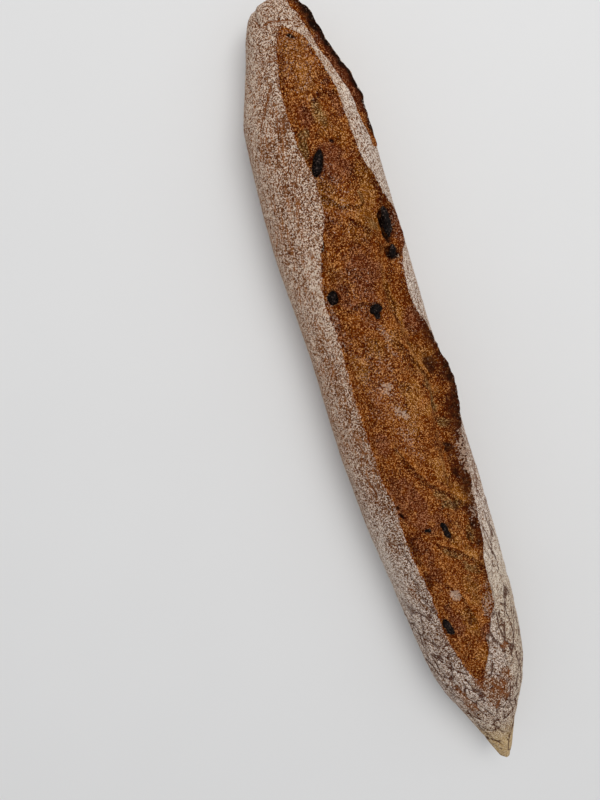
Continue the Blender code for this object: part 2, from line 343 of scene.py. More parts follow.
def plain_loaf(x, angle):
    """Points on the unscored loaf: x along it, angle round it from the ear's side over the top."""
    half = half_width(x)
    height = CROWN_HEIGHT * (half / WIDEST_HALF) ** CROWN_POWER
    lift = TIP_LIFT * np.clip(1 - half / LIFT_FULL_WIDTH, 0, 1) ** LIFT_POWER
    waist = WAIST_SHARE * height
    side, up = np.cos(angle), np.sin(angle)
    top = waist + (height - waist) * np.abs(up) ** (2 / TOP_POWER)
    base = waist - (waist + BASE_CUT) * np.abs(up) ** (2 / BASE_POWER)
    y = middle_line(x) + half * powered(side, 2 / TOP_POWER)
    z = lift + np.where(up >= 0, top, np.maximum(base, 0))
    return np.stack(np.broadcast_arrays(x, y, z), -1)


def unit(vectors):
    return vectors / (np.linalg.norm(vectors, axis=-1, keepdims=True) + NEVER_ZERO)


def plain_directions(x, angle):
    """Outward and sideways directions of the unscored loaf, from two short steps on it."""
    along = plain_loaf(x + TINY_STEP, angle) - plain_loaf(x - TINY_STEP, angle)
    around = plain_loaf(x, angle + TINY_STEP) - plain_loaf(x, angle - TINY_STEP)
    return unit(np.cross(around, along)), unit(-around)


print("crown in the middle:", plain_loaf(0.0, math.pi / 2).round(1), "mm")

# %% [markdown]
# ## The scores
#
# A baker cuts the dough with a blade before baking, and it opens in the oven. Four lines describe the
# cuts: the left edge of the long score, the foot of its ear, and both edges of the short score over
# the blunt end. Rows of the mesh run exactly along these lines, which keeps the torn edges sharp. A
# small wander is added to each line here, because torn dough is never as smooth as a drawn curve.

# %% Lines of the scores
left_edge = through((
    (-215, -5), (-197, -5), (-184, -7.3), (-170, -10.4), (-156, -10.9), (-142, -10.5), (-126, -7.8),
    (-112, -8), (-100, -12), (-90, -16), (-67, -20.4), (-51, -19.2), (-20, -20), (23, -19.5),
    (41, -16.9), (58, -16.9), (94, -12.7), (113, -11.7), (133, -8), (142, -7), (150, -4.5), (175, -3),
    (215, 0),
))
ear_foot = through((
    (-215, 4), (-197, 5), (-189, 8.6), (-173, 12.4), (-162, 14.2), (-133, 14.5), (-112, 19.4),
    (-99, 22.2), (-90, 22.2), (-79, 19.2), (-69, 17.4), (-59, 17.5), (-47, 20.1), (-30, 22.5),
    (-15, 24.9), (-3, 23.6), (7, 22), (22, 21.6), (38, 20.3), (71, 19.5), (82, 17.3), (105, 17.1),
    (114, 12.6), (131, 7.9), (142, 5.6), (150, 5), (175, 6), (215, 7),
))
openness = through((
    (-215, 0), (-199, 0), (-196, 0.55), (-190, 1), (128, 1), (142, 0.67), (149, 0.25), (153, 0),
    (215, 0),
))
ear_height = through((
    (-199, 0), (-190, 0.8), (-154, 1.2), (-139, 2), (-124, 3.0), (-108, 3.6), (-92, 3.8), (-80, 3.6),
    (-68, 3.4), (-50, 4), (-25, 5.4), (0, 6), (20, 4.8), (50, 3.2), (80, 2), (113, 1.3), (140, 0.6),
    (153, 0),
))
short_edge = through((
    (-215, 5.5), (-209, 5.5), (-202, 9), (-196, 10), (-192, 11.6), (-182, 14), (-177, 16.6),
    (-170, 18.1), (-158, 21.6), (-147, 23), (-140, 24.9), (-125, 26), (-100, 27.2), (-70, 26.4),
    (-40, 28), (-10, 30.3), (20, 30), (60, 29.4), (90, 29), (110, 27), (131, 23), (150, 19), (175, 14),
    (215, 9),
))
short_ear_height = through((
    (-213, 0), (-208, 2.6), (-196, 3.2), (-165, 3), (-150, 2.4), (-138, 0.8), (-130, 0),
))
SHORT_FACE = 4.2  # width of the step that the short score opened
SHORT_FACE_FULL = 16.0  # it is narrower where the loaf's half width is less than this
SHORT_CLEAR = 0.02  # least room between the two scores, as a share of the way round
WANDER = 0.55  # how far a torn edge strays from its line
WANDER_SIZE = 5.0
QUICK_SHARE = 0.5
QUICK_TIMES = 3
EAR_CALM = 0.4  # the crests of the ears stray less
EDGE_LIMIT = 0.985  # no line comes nearer to a ring's side than this share of its half width


def wandering(x, lane):
    """A small uneven shift along an edge, from slow and quick noise."""
    slow = noise.noise((x / WANDER_SIZE, lane, 0.0))
    return WANDER * (slow + QUICK_SHARE * noise.noise((QUICK_TIMES * x / WANDER_SIZE, lane, 9.0)))


print("the long score is", round(float(ear_foot(0) - left_edge(0)), 1), "mm wide in the middle")

# %% [markdown]
# ## The net of points
#
# The fine mesh is a net: rings round the loaf and columns along it. Most columns are spent on the top,
# where the loaf is looked at, and they crowd at the torn edges. For every point the net also remembers
# how far it is from each score line, measured round the loaf. Those distances later shape the relief,
# and they tell the material where skin ends and crumb begins.

# %% Spread the net
STATIONS = 620
END_CROWDING = 0.28
FIRST_STATION = 0.9
ROUND_SAMPLES = 721
BANDS = {  # columns between one line and the next, and how they crowd at both ends of the band
    "flank": (46, -0.5, 0.55),
    "crumb": (56, 0.4, 0.5),
    "strip": (10, 0.3, 0.0),
    "step": (9, 0.2, 0.2),
    "far": (37, 0.45, -0.5),
}


def crowded(count, at_start, at_end):
    """Shares from 0 towards 1, closer together at an end whose number is positive."""
    t = (np.arange(count) + 0.5) / count
    spacing = 1 - at_start * (1 - t) ** 2 - at_end * t**2
    return np.concatenate(([0], np.cumsum(spacing)[:-1])) / spacing.sum()


def station_places():
    t = np.linspace(0, 1, STATIONS)
    even = 2 * t - 1
    return (HALF_LENGTH - FIRST_STATION) * (even + END_CROWDING * (-np.cos(math.pi * t) - even))


def edge_angle(x, y):
    share = np.clip((y - middle_line(x)) / half_width(x), -EDGE_LIMIT, EDGE_LIMIT)
    return np.arccos(powered(share, TOP_POWER / 2))


def ring_columns(x, shares):
    """Angles of one ring's points, and their distances round the loaf from each line."""
    sweep = np.radians(np.linspace(270, -90, ROUND_SAMPLES))
    ring = plain_loaf(np.full_like(sweep, x), sweep)
    travelled = np.concatenate(([0], np.cumsum(np.linalg.norm(np.diff(ring, axis=0), axis=1))))

    def arc_at(angle):
        return float(np.interp(-angle, -sweep, travelled))

    left = arc_at(edge_angle(x, left_edge(x) + wandering(x, 1.0)))
    ear = arc_at(edge_angle(x, ear_foot(x) + EAR_CALM * wandering(x, 2.0)))
    second = arc_at(edge_angle(x, short_edge(x) + EAR_CALM * wandering(x, 3.0)))
    second = max(second, ear + SHORT_CLEAR * travelled[-1])
    foot = second + SHORT_FACE * min(1.0, half_width(x) / SHORT_FACE_FULL)
    stops = (0.0, left, ear, second, foot, travelled[-1])
    arcs = np.concatenate([a + (b - a) * share for a, b, share in zip(stops[:-1], stops[1:], shares)])
    closed = (1 - openness(x)) / 2 * (ear - left)
    lines = (left + closed, ear - closed, second, foot, arc_at(math.pi / 2))
    return np.interp(arcs, travelled, sweep), [arcs - line for line in lines]


def spread_net():
    """Rows are rings, columns run along the loaf: x, angle, and distance from each line."""
    shares = [crowded(*band) for band in BANDS.values()]
    places = station_places()
    rows = [ring_columns(x, shares) for x in places]
    angles = np.array([angle for angle, _ in rows])
    distances = np.array([lines for _, lines in rows]).transpose(1, 0, 2)
    x = np.repeat(places[:, None], angles.shape[1], axis=1)
    return x, angles, dict(zip(("left", "ear", "second", "foot", "crown"), distances))


net_x, net_angle, net_from = spread_net()
net_round = net_from["crown"]  # distance round the loaf from its crown, towards the ear
net_plain = plain_loaf(net_x, net_angle)
net_out, net_side = plain_directions(net_x, net_angle)
print("net:", net_x.shape[0], "rings of", net_x.shape[1], "points")

# %% [markdown]
# ## Noise in millimetres
#
# Dough is uneven at many sizes at once. Noise that is sampled in the round, on the points of the plain
# loaf, has no seam anywhere. The sizes below are lengths of a typical lump.

# %% Noise helpers
SEED_SHIFT = np.array((0.0, 17.3, 5.1))  # each seed reads the noise in a place of its own
FINER_TIMES = 2.0  # each octave of a layered noise is this many times finer
FINER_FALL = 0.8  # how quickly finer octaves grow weaker


def lumps(size, seed, octaves=1, stretch=1.0):
    """Noise over the net, about -1 to 1. Stretch draws the lumps out along the loaf."""
    places = net_plain.reshape(-1, 3)
    spots = places / size + SEED_SHIFT * seed
    spots[:, 0] = places[:, 0] / (size * stretch) + seed
    if octaves == 1:
        values = [noise.noise(spot) for spot in spots]
    else:
        values = [noise.fractal(spot, FINER_FALL, FINER_TIMES, octaves) for spot in spots]
    return np.array(values).reshape(net_x.shape)


def smooth_step(value, start, end):
    s = np.clip((value - start) / (end - start), 0, 1)
    return s * s * (3 - 2 * s)


def along_x(start, end):
    """0 before a place along the loaf, 1 past another, and smooth between them."""
    return smooth_step(net_x, start, end)


def round_crown(start, end):
    """The same for two distances round the loaf from its crown."""
    return smooth_step(net_round, start, end)


def hump(value, width):
    return np.exp(-((value / width) ** 2))


broad = lumps(30.0, 1)
medium = lumps(11.0, 2)
small = lumps(4.5, 3)
tiny = lumps(1.9, 4)
drawn_out = lumps(2.6, 5, stretch=7.0)
warp = lumps(6.0, 6, octaves=3)
print("noise fields are ready")

# %% [markdown]
# ## Where the loaf is marked
#
# A real crust has places: this blister, that crease, a patch that browned more. They are listed here
# as a baker would point at them, by how far along the loaf they are and how far round from its crown.
# Soft patches are ellipses, and creases are short bent lines. Both get a ragged outline from noise.

# %% Patches
# Each patch: along, round, length, width, turn in degrees, strength.
DEEP_PATCHES = (  # crumb that baked to a dark reddish brown
    (-156, -2, 16, 8, 20, 0.95), (-160, 14, 26, 4, 8, 0.7), (-131, 6, 20, 15, 8, 1.0),
    (-78, 4, 30, 17, 5, 0.9), (-90, 27, 36, 5, 2, 1.0), (-118, 14, 16, 7, 20, 0.2),
    (-104, -4, 14, 9, 0, 0.5), (-71, -8, 16, 8, 0, 0.8), (-56, -16, 22, 7, -5, 0.9),
    (-176, 23, 50, 9, 20, 1.2), (-49, 21, 14, 6, 5, 0.9), (-56, 0, 16, 10, 0, 0.6),
    (-30, 2, 16, 9, 0, 0.4), (-14, -8, 18, 9, 0, 0.5), (6, -14, 18, 9, 4, 0.8), (8, -2, 20, 8, 10, 0.4),
    (42, -6, 34, 11, 6, 1.0), (36, -14, 30, 9, 4, 0.7), (52, 2, 16, 9, 5, 0.7),
    (66, -11, 22, 10, 5, 0.7), (82, -9, 18, 8, 5, 0.7), (20, 27, 30, 7, 5, 0.8),
    (52, 21, 12, 5, -20, 0.6), (109, -7, 22, 7, 4, 0.9), (118, 7, 16, 6, -20, 0.9),
    (148, 0, 16, 8, 0, 0.9), (-150, 9, 12, 6, 10, 0.4), (-92, 12, 16, 8, 25, 0.3),
)
GOLD_AND_LIT_PATCHES = (  # crumb that stayed golden, and painted light on swells of the crumb
    (-30, 16.5, 20, 5, 5, 0.7), (-114, 18.5, 28, 5, 8, 1.0), (-186, 2, 16, 14, 0, 0.5),
    (-172, 4, 18, 14, 0, 0.6), (-150, 6, 14, 9, 0, 0.9), (-160, 15, 12, 4, 0, 0.5),
    (-142, 12, 14, 6, 10, 0.6), (-118, -1, 14, 11, 15, 1.0), (-112, 7, 10, 7, 10, 0.6),
    (-104, 15, 26, 12, 18, 1.0), (-96, 6, 14, 8, 20, 0.6), (-60, 15.5, 32, 4, 5, 0.9),
    (-42, -1, 13, 9, 15, 0.9), (-34, -12, 16, 8, 10, 0.8), (-40, 9, 18, 7, 15, 0.6),
    (-30, 19, 32, 8, 8, 1.0), (-81, -8, 12, 7, 0, 0.6), (-13, 9, 20, 13, 18, 1.0),
    (-2, 4, 18, 8, 10, 0.7), (28, 12, 22, 10, 12, 0.9), (43, 17, 16, 8, 12, 1.0),
    (62, 5, 20, 8, 15, 0.8), (74, 12, 18, 6, 15, 0.9), (96, 7, 20, 10, 10, 1.0),
    (111, 0, 20, 9, 10, 1.0), (134, 1, 18, 7, 10, 0.7), (-8, -10, 12, 6, 0, 0.3),
)
PALE_PATCHES = (  # thin grey-green skin over a hollow
    (-11, 20.5, 11, 3, 8, 0.7), (-141, -5.6, 17, 7, -12, 1.0), (-155, 5.4, 12, 7, 0, 0.7),
    (-112, 15, 12, 4, 20, 0.6), (-99, 17, 9, 4, 30, 0.6), (-17, 17.8, 9, 4, 10, 0.8),
    (-4, 20.6, 10, 4, 0, 0.9), (5, 20.5, 9, 4, -8, 0.8), (41, 8, 9, 4, 50, 0.7),
    (47, 11, 12, 6, 40, 0.9), (66, 15.5, 12, 4, -5, 0.7), (72, 2, 9, 4, 50, 0.7),
    (84, 10, 12, 4.5, 35, 0.8), (58, 11, 7, 4, 10, 0.4), (-152, 6, 8, 4, 0, 0.4),
    (140, -4, 6, 3, 0, 0.4), (100, 12, 8, 3, 0, 0.5),
)
DUST_PATCHES = (  # flour that fell on the crumb
    (-21, -1.8, 9, 6, 10, 1.0), (-7, 1.1, 8, 4, 40, 0.9), (-36, 6.5, 12, 5, 20, 0.5),
    (-47, 4.5, 9, 5, 30, 0.5), (3, -0.5, 14, 6, 10, 0.5), (14, 1, 10, 4, 40, 0.4),
    (95, -2.6, 7, 5, 0, 1.0), (28, 24, 30, 6, -5, 0.85), (26, 29, 26, 6, 4, 0.8),
    (-74, 22, 14, 2.6, -4, 0.4), (-51, 23.5, 8, 2.6, -10, 0.8), (-182, 3, 38, 20, 0, 0.35),
    (-116, 2, 34, 18, 8, 0.3), (-92, 27, 30, 4, 2, 0.3), (-22, -4, 60, 20, 8, 0.3),
    (-70, 0, 40, 16, 5, 0.2), (8, 31, 12, 4, 0, 0.5), (104, 12, 26, 5, -12, 0.6),
    (126, 7, 16, 4, -15, 0.6), (-64, -16, 26, 4, 0, 0.5), (-50, -14, 20, 6, 0, 0.35),
    (53, 20, 14, 4, -12, 0.7), (-28, 29, 22, 3, 5, 0.4),
)
CHAR_AND_PIT_SHADE_PATCHES = (  # spots that charred, and pits, slits and a bubble's edge painted dark as their shade
    (-193, 2.4, 5, 2.2, 48, 1.0), (-141, 8.1, 3.4, 1.6, 72, 0.9), (-163, 9, 7, 2.4, 80, 0.45),
    (18, 19.8, 7, 2.4, 4, 0.8), (33, 19.2, 12, 2.2, -4, 0.8), (26, 19.4, 26, 3.2, -3, 0.5),
    (26, 23.6, 34, 5, -4, 0.5), (104, 13, 24, 4, -12, 0.4), (-17, 16.0, 2.4, 1.6, 0, 0.9),
    (-5, 19.6, 2.4, 1.6, 0, 0.8), (-11, 4.1, 2.6, 1.6, 40, 0.8), (40, -16.3, 2.4, 1.8, 0, 0.9),
    (45, -15.4, 2.8, 1.8, 20, 0.9), (32, 23.6, 7, 3.4, -10, 0.9), (-96, -10.6, 8, 2.4, -25, 0.9),
    (-88, -14.0, 9, 2.6, -20, 0.7), (-24, 23.6, 14, 2.6, 14, 0.75), (-98, 16, 16, 8, 10, 0.4),
    (-72, -17.5, 12, 9, 0, 0.4), (48, 13, 8, 3, 35, 0.55), (60, 18.4, 9, 3.2, -4, 0.8),
    (71, 17.4, 10, 3, -5, 0.8), (82, 16.2, 10, 2.6, -4, 0.6), (66, -15.8, 20, 5, 2, 0.5),
    (82, -14, 12, 4, 4, 0.5), (112, 0, 4, 2.4, 0, 0.6), (125, 6, 6, 3, -20, 0.7),
    (-93, 23.4, 22, 3.4, -3, 1.0), (-85, 21.4, 8, 2.6, -12, 0.8), (-178, 22.5, 46, 7, 20, 0.55),
    (50, 2, 14, 6, 10, 0.3),
)
BROWN_PATCHES = (  # skin that lost its flour
    (-130, -20, 50, 10, 5, 0.4), (-165, -20, 20, 5, -30, 0.4), (-148, -24, 26, 8, 10, 0.6),
    (-98, -26, 64, 8, 3, 0.6), (-40, -28, 60, 7, 3, 0.5), (-150, -13.5, 20, 6, -15, 0.55),
    (-203, 9, 12, 6, 0, 0.8), (-197, -2, 10, 6, 0, 0.4), (90, -25, 12, 4, 20, 0.8),
    (150, -3, 18, 10, 10, 0.9), (151, 11, 9, 5, 30, 0.9), (162, -14, 22, 6, 15, 0.7),
    (158, 5, 20, 14, 0, 0.95), (60, -27, 10, 6, 20, 0.4), (133, 14, 6, 4, 40, 0.9),
)
PATCH_RAGGED = 0.7  # how far noise moves a patch's outline, as a share of its half size
PATCH_FADE = (0.55, 1.3)  # a patch fades out between these distances, in the same measure


def patches(rows):
    """How strongly each point of the net lies in the listed patches, and 0 outside them."""
    total = np.zeros(net_x.shape)
    for along, around, length, width, turn, strength in rows:
        dx, dy = net_x - along, net_round - around
        c, s = math.cos(math.radians(turn)), math.sin(math.radians(turn))
        u, v = (dx * c + dy * s) / (length / 2), (dy * c - dx * s) / (width / 2)
        reach = np.sqrt(u * u + v * v) + PATCH_RAGGED * warp
        total = np.maximum(total, strength * (1 - smooth_step(reach, *PATCH_FADE)))
    return total


deep = patches(DEEP_PATCHES)
gold_and_lit = patches(GOLD_AND_LIT_PATCHES)
pale = patches(PALE_PATCHES)
dust = patches(DUST_PATCHES)
charred = patches(CHAR_AND_PIT_SHADE_PATCHES)
brown = patches(BROWN_PATCHES)
print("patches cover", round(float((np.maximum(deep, gold_and_lit) > 0.3).mean()), 2), "of the net")

# %% [markdown]
# Creases are folds that were pressed into the dough when it was rolled, and the opened crumb has folds
# of its own. On the net, the distance to such a line is the distance to the nearest of its short
# straight stretches.

# %% Draw the creases
# Each crease: its depth, its width, and its points as (along, round).
CREASES = (
    (0.7, 0.9, ((-173, -13.4), (-165, -18.8), (-157, -24.6))),
    (0.9, 1.1, ((-202, -9.1), (-203, -5.5), (-202, -2.3), (-201, 2), (-200, 5))),
    (0.7, 0.9, ((-200, -5), (-198, -1.7), (-196, 0.4))),
    (1.6, 2.0, ((-211, -13), (-208, -13.5), (-203, -12))),
    (0.7, 0.7, ((-157, -11.8), (-151, -12.5))),
    (0.6, 0.7, ((-159, -14.2), (-152, -16))),
    (1.2, 1.0, ((-186, -31), (-180, -27.7), (-176, -26))),
    (0.4, 0.8, ((-185, -11.4), (-184, -7.1))),
    (0.7, 0.8, ((57, -29.4), (60, -28), (61, -24), (60, -19.8))),
    (0.7, 0.8, ((65, -21.8), (69, -20.7), (73, -19.5))),
    (0.5, 0.7, ((81, -23.1), (84, -20.2))),
    (0.6, 0.7, ((111, -34.2), (116, -36), (119, -33), (118, -29.1), (112, -26.2))),
    (0.8, 0.9, ((120, -25.1), (124, -22.6), (125, -21.1), (123, -15))),
    (0.6, 0.7, ((134, -36), (138, -32.4), (142, -28.7))),
    (0.6, 0.8, ((136, -18), (140, -15.6), (143, -10.1))),
    (0.6, 0.8, ((44, 30.9), (52, 32.8), (60, 36), (67, 39.6))),
    (0.5, 0.7, ((59, 22.4), (69, 26), (77, 27.7))),
    (0.5, 0.7, ((83, 23.6), (89, 24), (95, 26.5))),
    (0.6, 0.7, ((102, 27.4), (114, 29.6), (124, 27.3))),
    (0.5, 0.7, ((110, 20.4), (114, 24))),
    (0.6, 0.8, ((123, 12.3), (121, 18))),
    (0.8, 1.0, ((167, 6.3), (172, 11.2), (173, 14))),
    (0.7, 0.9, ((169, 0.5), (174, 5), (176, 9.8))),
    (0.7, 0.8, ((128, 22), (134, 17), (137, 12))),
    (0.6, 0.8, ((148, -20), (156, -16), (166, -10))),
    (0.6, 0.8, ((152, -24), (164, -17), (174, -10))),
    (0.5, 0.7, ((146, -12), (154, -9), (160, -4))),
    (0.6, 0.7, ((18, -30), (26, -26), (32, -25))),
    (0.5, 0.7, ((-2, -27), (8, -24), (14, -23.4))),
)
# The same for the folds of the crumb: how far each ridge rises, how wide it is, and its points.
CRUMB_FOLDS = (
    (0.4, 1.3, ((-64, -6.9), (-66, -2), (-64, 4.3))),
    (0.4, 1.2, ((-104, 8), (-101, 11), (-98, 13.9))),
    (0.4, 1.3, ((-163, 5), (-167, 9), (-164, 14))),
    (0.5, 1.2, ((-68, 16.2), (-60, 16.2), (-51, 16.8))),
    (0.5, 1.3, ((-41, 11.7), (-31, 17.3), (-20, 23.4))),
    (0.35, 1.5, ((-118, -2), (-112, 4), (-110, 12))),
    (0.8, 1.5, ((11, -5.7), (22, -1.1), (31, 3.8), (37, 8.7), (42, 15.2), (52, 20.5))),
    (0.8, 1.3, ((65, -1.1), (69, 5.2), (77, 12.8), (84, 15.6))),
    (0.35, 1.4, ((88, -4), (98, 2), (112, 4))),
)
# How uneven noise makes a line, where it fades past its end, and how far to its side it is drawn.
CREASE_DRAWING = (0.5, (0.2, 1.4), 6)
FOLD_DRAWING = (0.8, (0.5, 4.0), 8)
# The hollow beside a fold's ridge: how far to the right of its points, how deep, and how wide it is.
FOLD_HOLLOW = (2.2, 0.8, 1.6)
NO_LINE = 99.0


def stretch_gap(start, end):
    """Distance from a straight stretch, with a sign that tells its two sides apart, and from its ends."""
    (ax, ay), (bx, by) = start, end
    dx, dy = bx - ax, by - ay
    across = ((net_x - ax) * dy - (net_round - ay) * dx) / math.hypot(dx, dy)
    t = ((net_x - ax) * dx + (net_round - ay) * dy) / (dx * dx + dy * dy)
    beyond = np.maximum(np.maximum(-t, t - 1), 0) * math.hypot(dx, dy)
    return np.copysign(np.hypot(across, beyond), across), beyond


def grooves(rows, uneven, fade, side):
    """Depth of the lines at each point, the gap to the nearest one, and how far it is drawn there."""
    depth = np.zeros(net_x.shape)
    gap = np.full(net_x.shape, NO_LINE)
    past_end = np.zeros(net_x.shape)
    stray = uneven * small
    for deepest, width, points in rows:
        for start, end in zip(points[:-1], points[1:]):
            signed, beyond = stretch_gap(start, end)
            depth = np.maximum(depth, deepest * hump(signed + stray, width))
            nearer = abs(signed) < abs(gap)
            gap = np.where(nearer, signed + stray, gap)
            past_end = np.where(nearer, beyond, past_end)
    return depth, gap, (1 - smooth_step(past_end, *fade)) * (abs(gap) < side)


crease_depth, crease_gap, crease_drawn = grooves(CREASES, *CREASE_DRAWING)
fold_height, fold_gap, fold_drawn = grooves(CRUMB_FOLDS, *FOLD_DRAWING)
hollow_side, hollow_depth, hollow_width = FOLD_HOLLOW
fold_height -= hollow_depth * fold_drawn * hump(fold_gap - hollow_side, hollow_width)
print("creases:", len(CREASES), "in the skin and", len(CRUMB_FOLDS), "in the crumb")

# %% [markdown]
# Dry, floured skin cracks into a net of small cells as the loaf swells, most of all over the pointed
# end. This step only says where. The cells themselves are a pattern of nodes, further down.

# %% Where the skin cracks
CRACKS_SET_IN = (60, 120)  # along the loaf
SET_IN_STRAYS = 14
EAR_CRACKS = (0.8, (21, 27), (-10, 40))  # on the ear's side: how many, round the loaf, along it
SPOT_CRACKS = (0.35, (0.2, 0.45))  # here and there: how many, and on how high a swell
CRACK_CLUSTER = 12.0
CRACKS_BREAK = (-0.45, 0.1)  # between the clusters, where their noise is low


def crack_places():
    """Floured skin cracks as the loaf swells: over the pointed end, and here and there elsewhere."""
    where = smooth_step(net_x + SET_IN_STRAYS * broad, *CRACKS_SET_IN)
    share, sides, places = EAR_CRACKS
    where += share * round_crown(*sides) * along_x(*places)
    share, swell = SPOT_CRACKS
    where += share * smooth_step(medium, *swell)
    return np.clip(where, 0, 1) * smooth_step(lumps(CRACK_CLUSTER, 9) + 0.5 * small, *CRACKS_BREAK)


crack_drawn = crack_places()
print("skin is cracked on", round(float((crack_drawn > 0.3).mean()), 2), "of the net")

# %% [markdown]
# ## Raising the relief
#
# Now the plain loaf gets its surface. Each point moves along its outward direction by the sum of many
# small rises: the step down from the skin to the crumb, the crumb's own swelling, the ears with their
# ragged crests, creases, blisters and grain. The ears also lean over sideways, like the real flaps.

# %% Relief of the scores
LIP_STEP = 1.1  # the crumb lies this far under the skin's torn edge
LIP_REACH = (-0.3, 0.9)
DOME_RISE = 1.0
LEAST_OPENING = 1.0
VALLEY_SHARE = 0.5  # the valley before an ear, as a share of the ear's height
VALLEY_OFFSET = 6.0
VALLEY_REACH = 3.0
EAR_ROOT = 1.5
EAR_INNER = 3.0
EAR_OUTER = 1.6
EAR_LEAN = 0.5
SHORT_STEP = 0.9
RAGGED_SHARE = 0.18
SHORT_RAGGED_SHARE = 0.35
RAGGED_SIZE = 7.0
RAGGED_LANE = 3.7
TORN_SHARE = 0.07  # finer teeth on a crest, on top of the broad ones
TORN_SIZE = 1.8


def crest(x, share):
    """An uneven factor about 1 for the height of an ear: broad waves with small teeth."""
    broad_waves = np.array([noise.noise((place / RAGGED_SIZE, RAGGED_LANE, 0.0)) for place in x])
    teeth = np.array([noise.noise((place / TORN_SIZE, RAGGED_LANE, 4.0)) for place in x])
    return (1 + share * broad_waves + TORN_SHARE * teeth)[:, None]


def ridge(distance):
    """The shape of an ear: steep towards the skin, and less so towards the crumb."""
    return np.exp(-((distance / np.where(distance < 0, EAR_INNER, EAR_OUTER)) ** 2))


def score_relief():
    """Rise and sideways lean that the scores give each point, as the solid has them."""
    x = net_x[:, 0]
    ear = ear_height(x)[:, None] * crest(x, RAGGED_SHARE)
    short_ear = short_ear_height(x)[:, None] * crest(x + LENGTH, SHORT_RAGGED_SHARE)
    inside = smooth_step(net_from["left"], *LIP_REACH) * smooth_step(-net_from["ear"], 0, EAR_ROOT)
    width = np.maximum(net_from["left"] - net_from["ear"], LEAST_OPENING)
    share = np.clip(net_from["left"] / width, 0, 1)
    crumb = inside * openness(net_x) * (4 * DOME_RISE * share * (1 - share) - LIP_STEP)
    valley = -VALLEY_SHARE * ear * hump(net_from["ear"] + VALLEY_OFFSET, VALLEY_REACH)
    face = smooth_step(net_from["second"], *LIP_REACH) * smooth_step(-net_from["foot"], 0, EAR_ROOT)
    leaning = ear * ridge(net_from["ear"]) + short_ear * ridge(net_from["foot"])
    sunk = SHORT_STEP * np.minimum(1.0, short_ear) * face
    return crumb + valley + leaning - sunk, EAR_LEAN * leaning


score_rise, score_lean = score_relief()
print("highest ear:", round(float(score_rise.max()), 1), "mm over the plain loaf")

# %% Where skin ends and crumb begins
OUT_OF_REACH = -9.0
LEAST_OPEN = 0.02
SHORT_LEAST_EAR = 0.35  # the short score shows crumb where its ear is higher than this
TORN_EDGE = (-0.2, 0.4)


def bare_distance():
    """Distance into the opened scores, in millimetres: positive on the crumb, negative on the skin."""
    long_score = np.minimum(net_from["left"], -net_from["ear"])
    long_score = np.where(openness(net_x) > LEAST_OPEN, long_score, OUT_OF_REACH)
    short_score = np.minimum(net_from["second"], -net_from["foot"])
    opened = short_ear_height(net_x) - SHORT_LEAST_EAR
    return np.maximum(long_score, np.where(opened > 0, short_score, OUT_OF_REACH))


bare = bare_distance()
on_crumb = smooth_step(bare, *TORN_EDGE)
on_skin = 1 - on_crumb
print("crumb shows on", round(float(on_crumb.mean()), 2), "of the net")

# %% Fine relief
SWELL_HEIGHT = 0.5
SMALL_SWELL_SHARE = 0.4
SETTLED = (1.0, 9.0)  # fine relief sets in between these heights over the ground
BLISTER_SIZE = 3.4
BLISTER_HEIGHT = 1.1
PORE_SIZE = 2.4
PORE_DEPTH = 0.8
PORE_RIM = (0.42, 0.6)
CRUMB_SWELLS = (0.8, 0.32, 0.12)  # medium, small and tiny
CHARRED_SINKS = 0.5
UNDERCUT = 0.5
LIP_CURL = 0.55  # the torn edge of the skin curls up a little
LIP_CURL_PLACE = 1.3  # how far from the edge the curl is highest, and how wide it is
LIP_CURL_LEVEL = 0.6  # small noise makes the curl uneven about this
SKIN_GRAIN = (0.11, 0.1, 0.1)  # small, tiny and drawn out


def crumb_relief():
    """Blisters, pores and soft folds of the crumb."""
    blisters = np.maximum(lumps(BLISTER_SIZE, 11), 0) ** 2 * BLISTER_HEIGHT
    pores = -PORE_DEPTH * smooth_step(lumps(PORE_SIZE, 12), *PORE_RIM)
    swollen = CRUMB_SWELLS[0] * medium + CRUMB_SWELLS[1] * small + CRUMB_SWELLS[2] * tiny
    undercut = -UNDERCUT * hump(net_from["left"] - 1.0, 1.0)
    return swollen + blisters + pores + fold_height - CHARRED_SINKS * charred + undercut


def skin_relief():
    """Grain, long wrinkles, creases and the curled lip of the skin."""
    lip = hump(net_from["left"] + LIP_CURL_PLACE, LIP_CURL_PLACE)
    curl = LIP_CURL * lip * openness(net_x) * (LIP_CURL_LEVEL + small)
    grain = SKIN_GRAIN[0] * small + SKIN_GRAIN[1] * tiny + SKIN_GRAIN[2] * drawn_out
    return curl + grain - crease_depth


def fine_relief():
    settled = smooth_step(net_plain[..., 2], *SETTLED)
    swell = SWELL_HEIGHT * (broad + SMALL_SWELL_SHARE * medium)
    return settled * (swell + on_crumb * crumb_relief() + on_skin * skin_relief())


rise = score_rise + fine_relief()
print("fine relief: from", rise.min().round(1), "to", rise.max().round(1), "mm")

# %% [markdown]
# ## Room for the olives
#
# Pieces of olive were kneaded into the dough, so the crumb closes round each of them. Here the crust
# sinks into a pocket under each piece and swells up a little round its rim. The size and the slant of
# a piece are measured on its own solid, which already lies in its place.

# %% Sink the pockets
# Places round an olive piece are counted from its centre, in half sizes of the piece.
POCKET_EDGE = (0.72, 1.02)
POCKET_FLOOR = 0.8  # depth, as a share of the piece's thickness
RIM_RISE = 0.35
RIM_PLACE = 1.3
RIM_WIDTH = 0.22
FAR_SIDE = 4  # what lies further above or below the piece is another side of the loaf
LEAST_OLIVE = 0.3
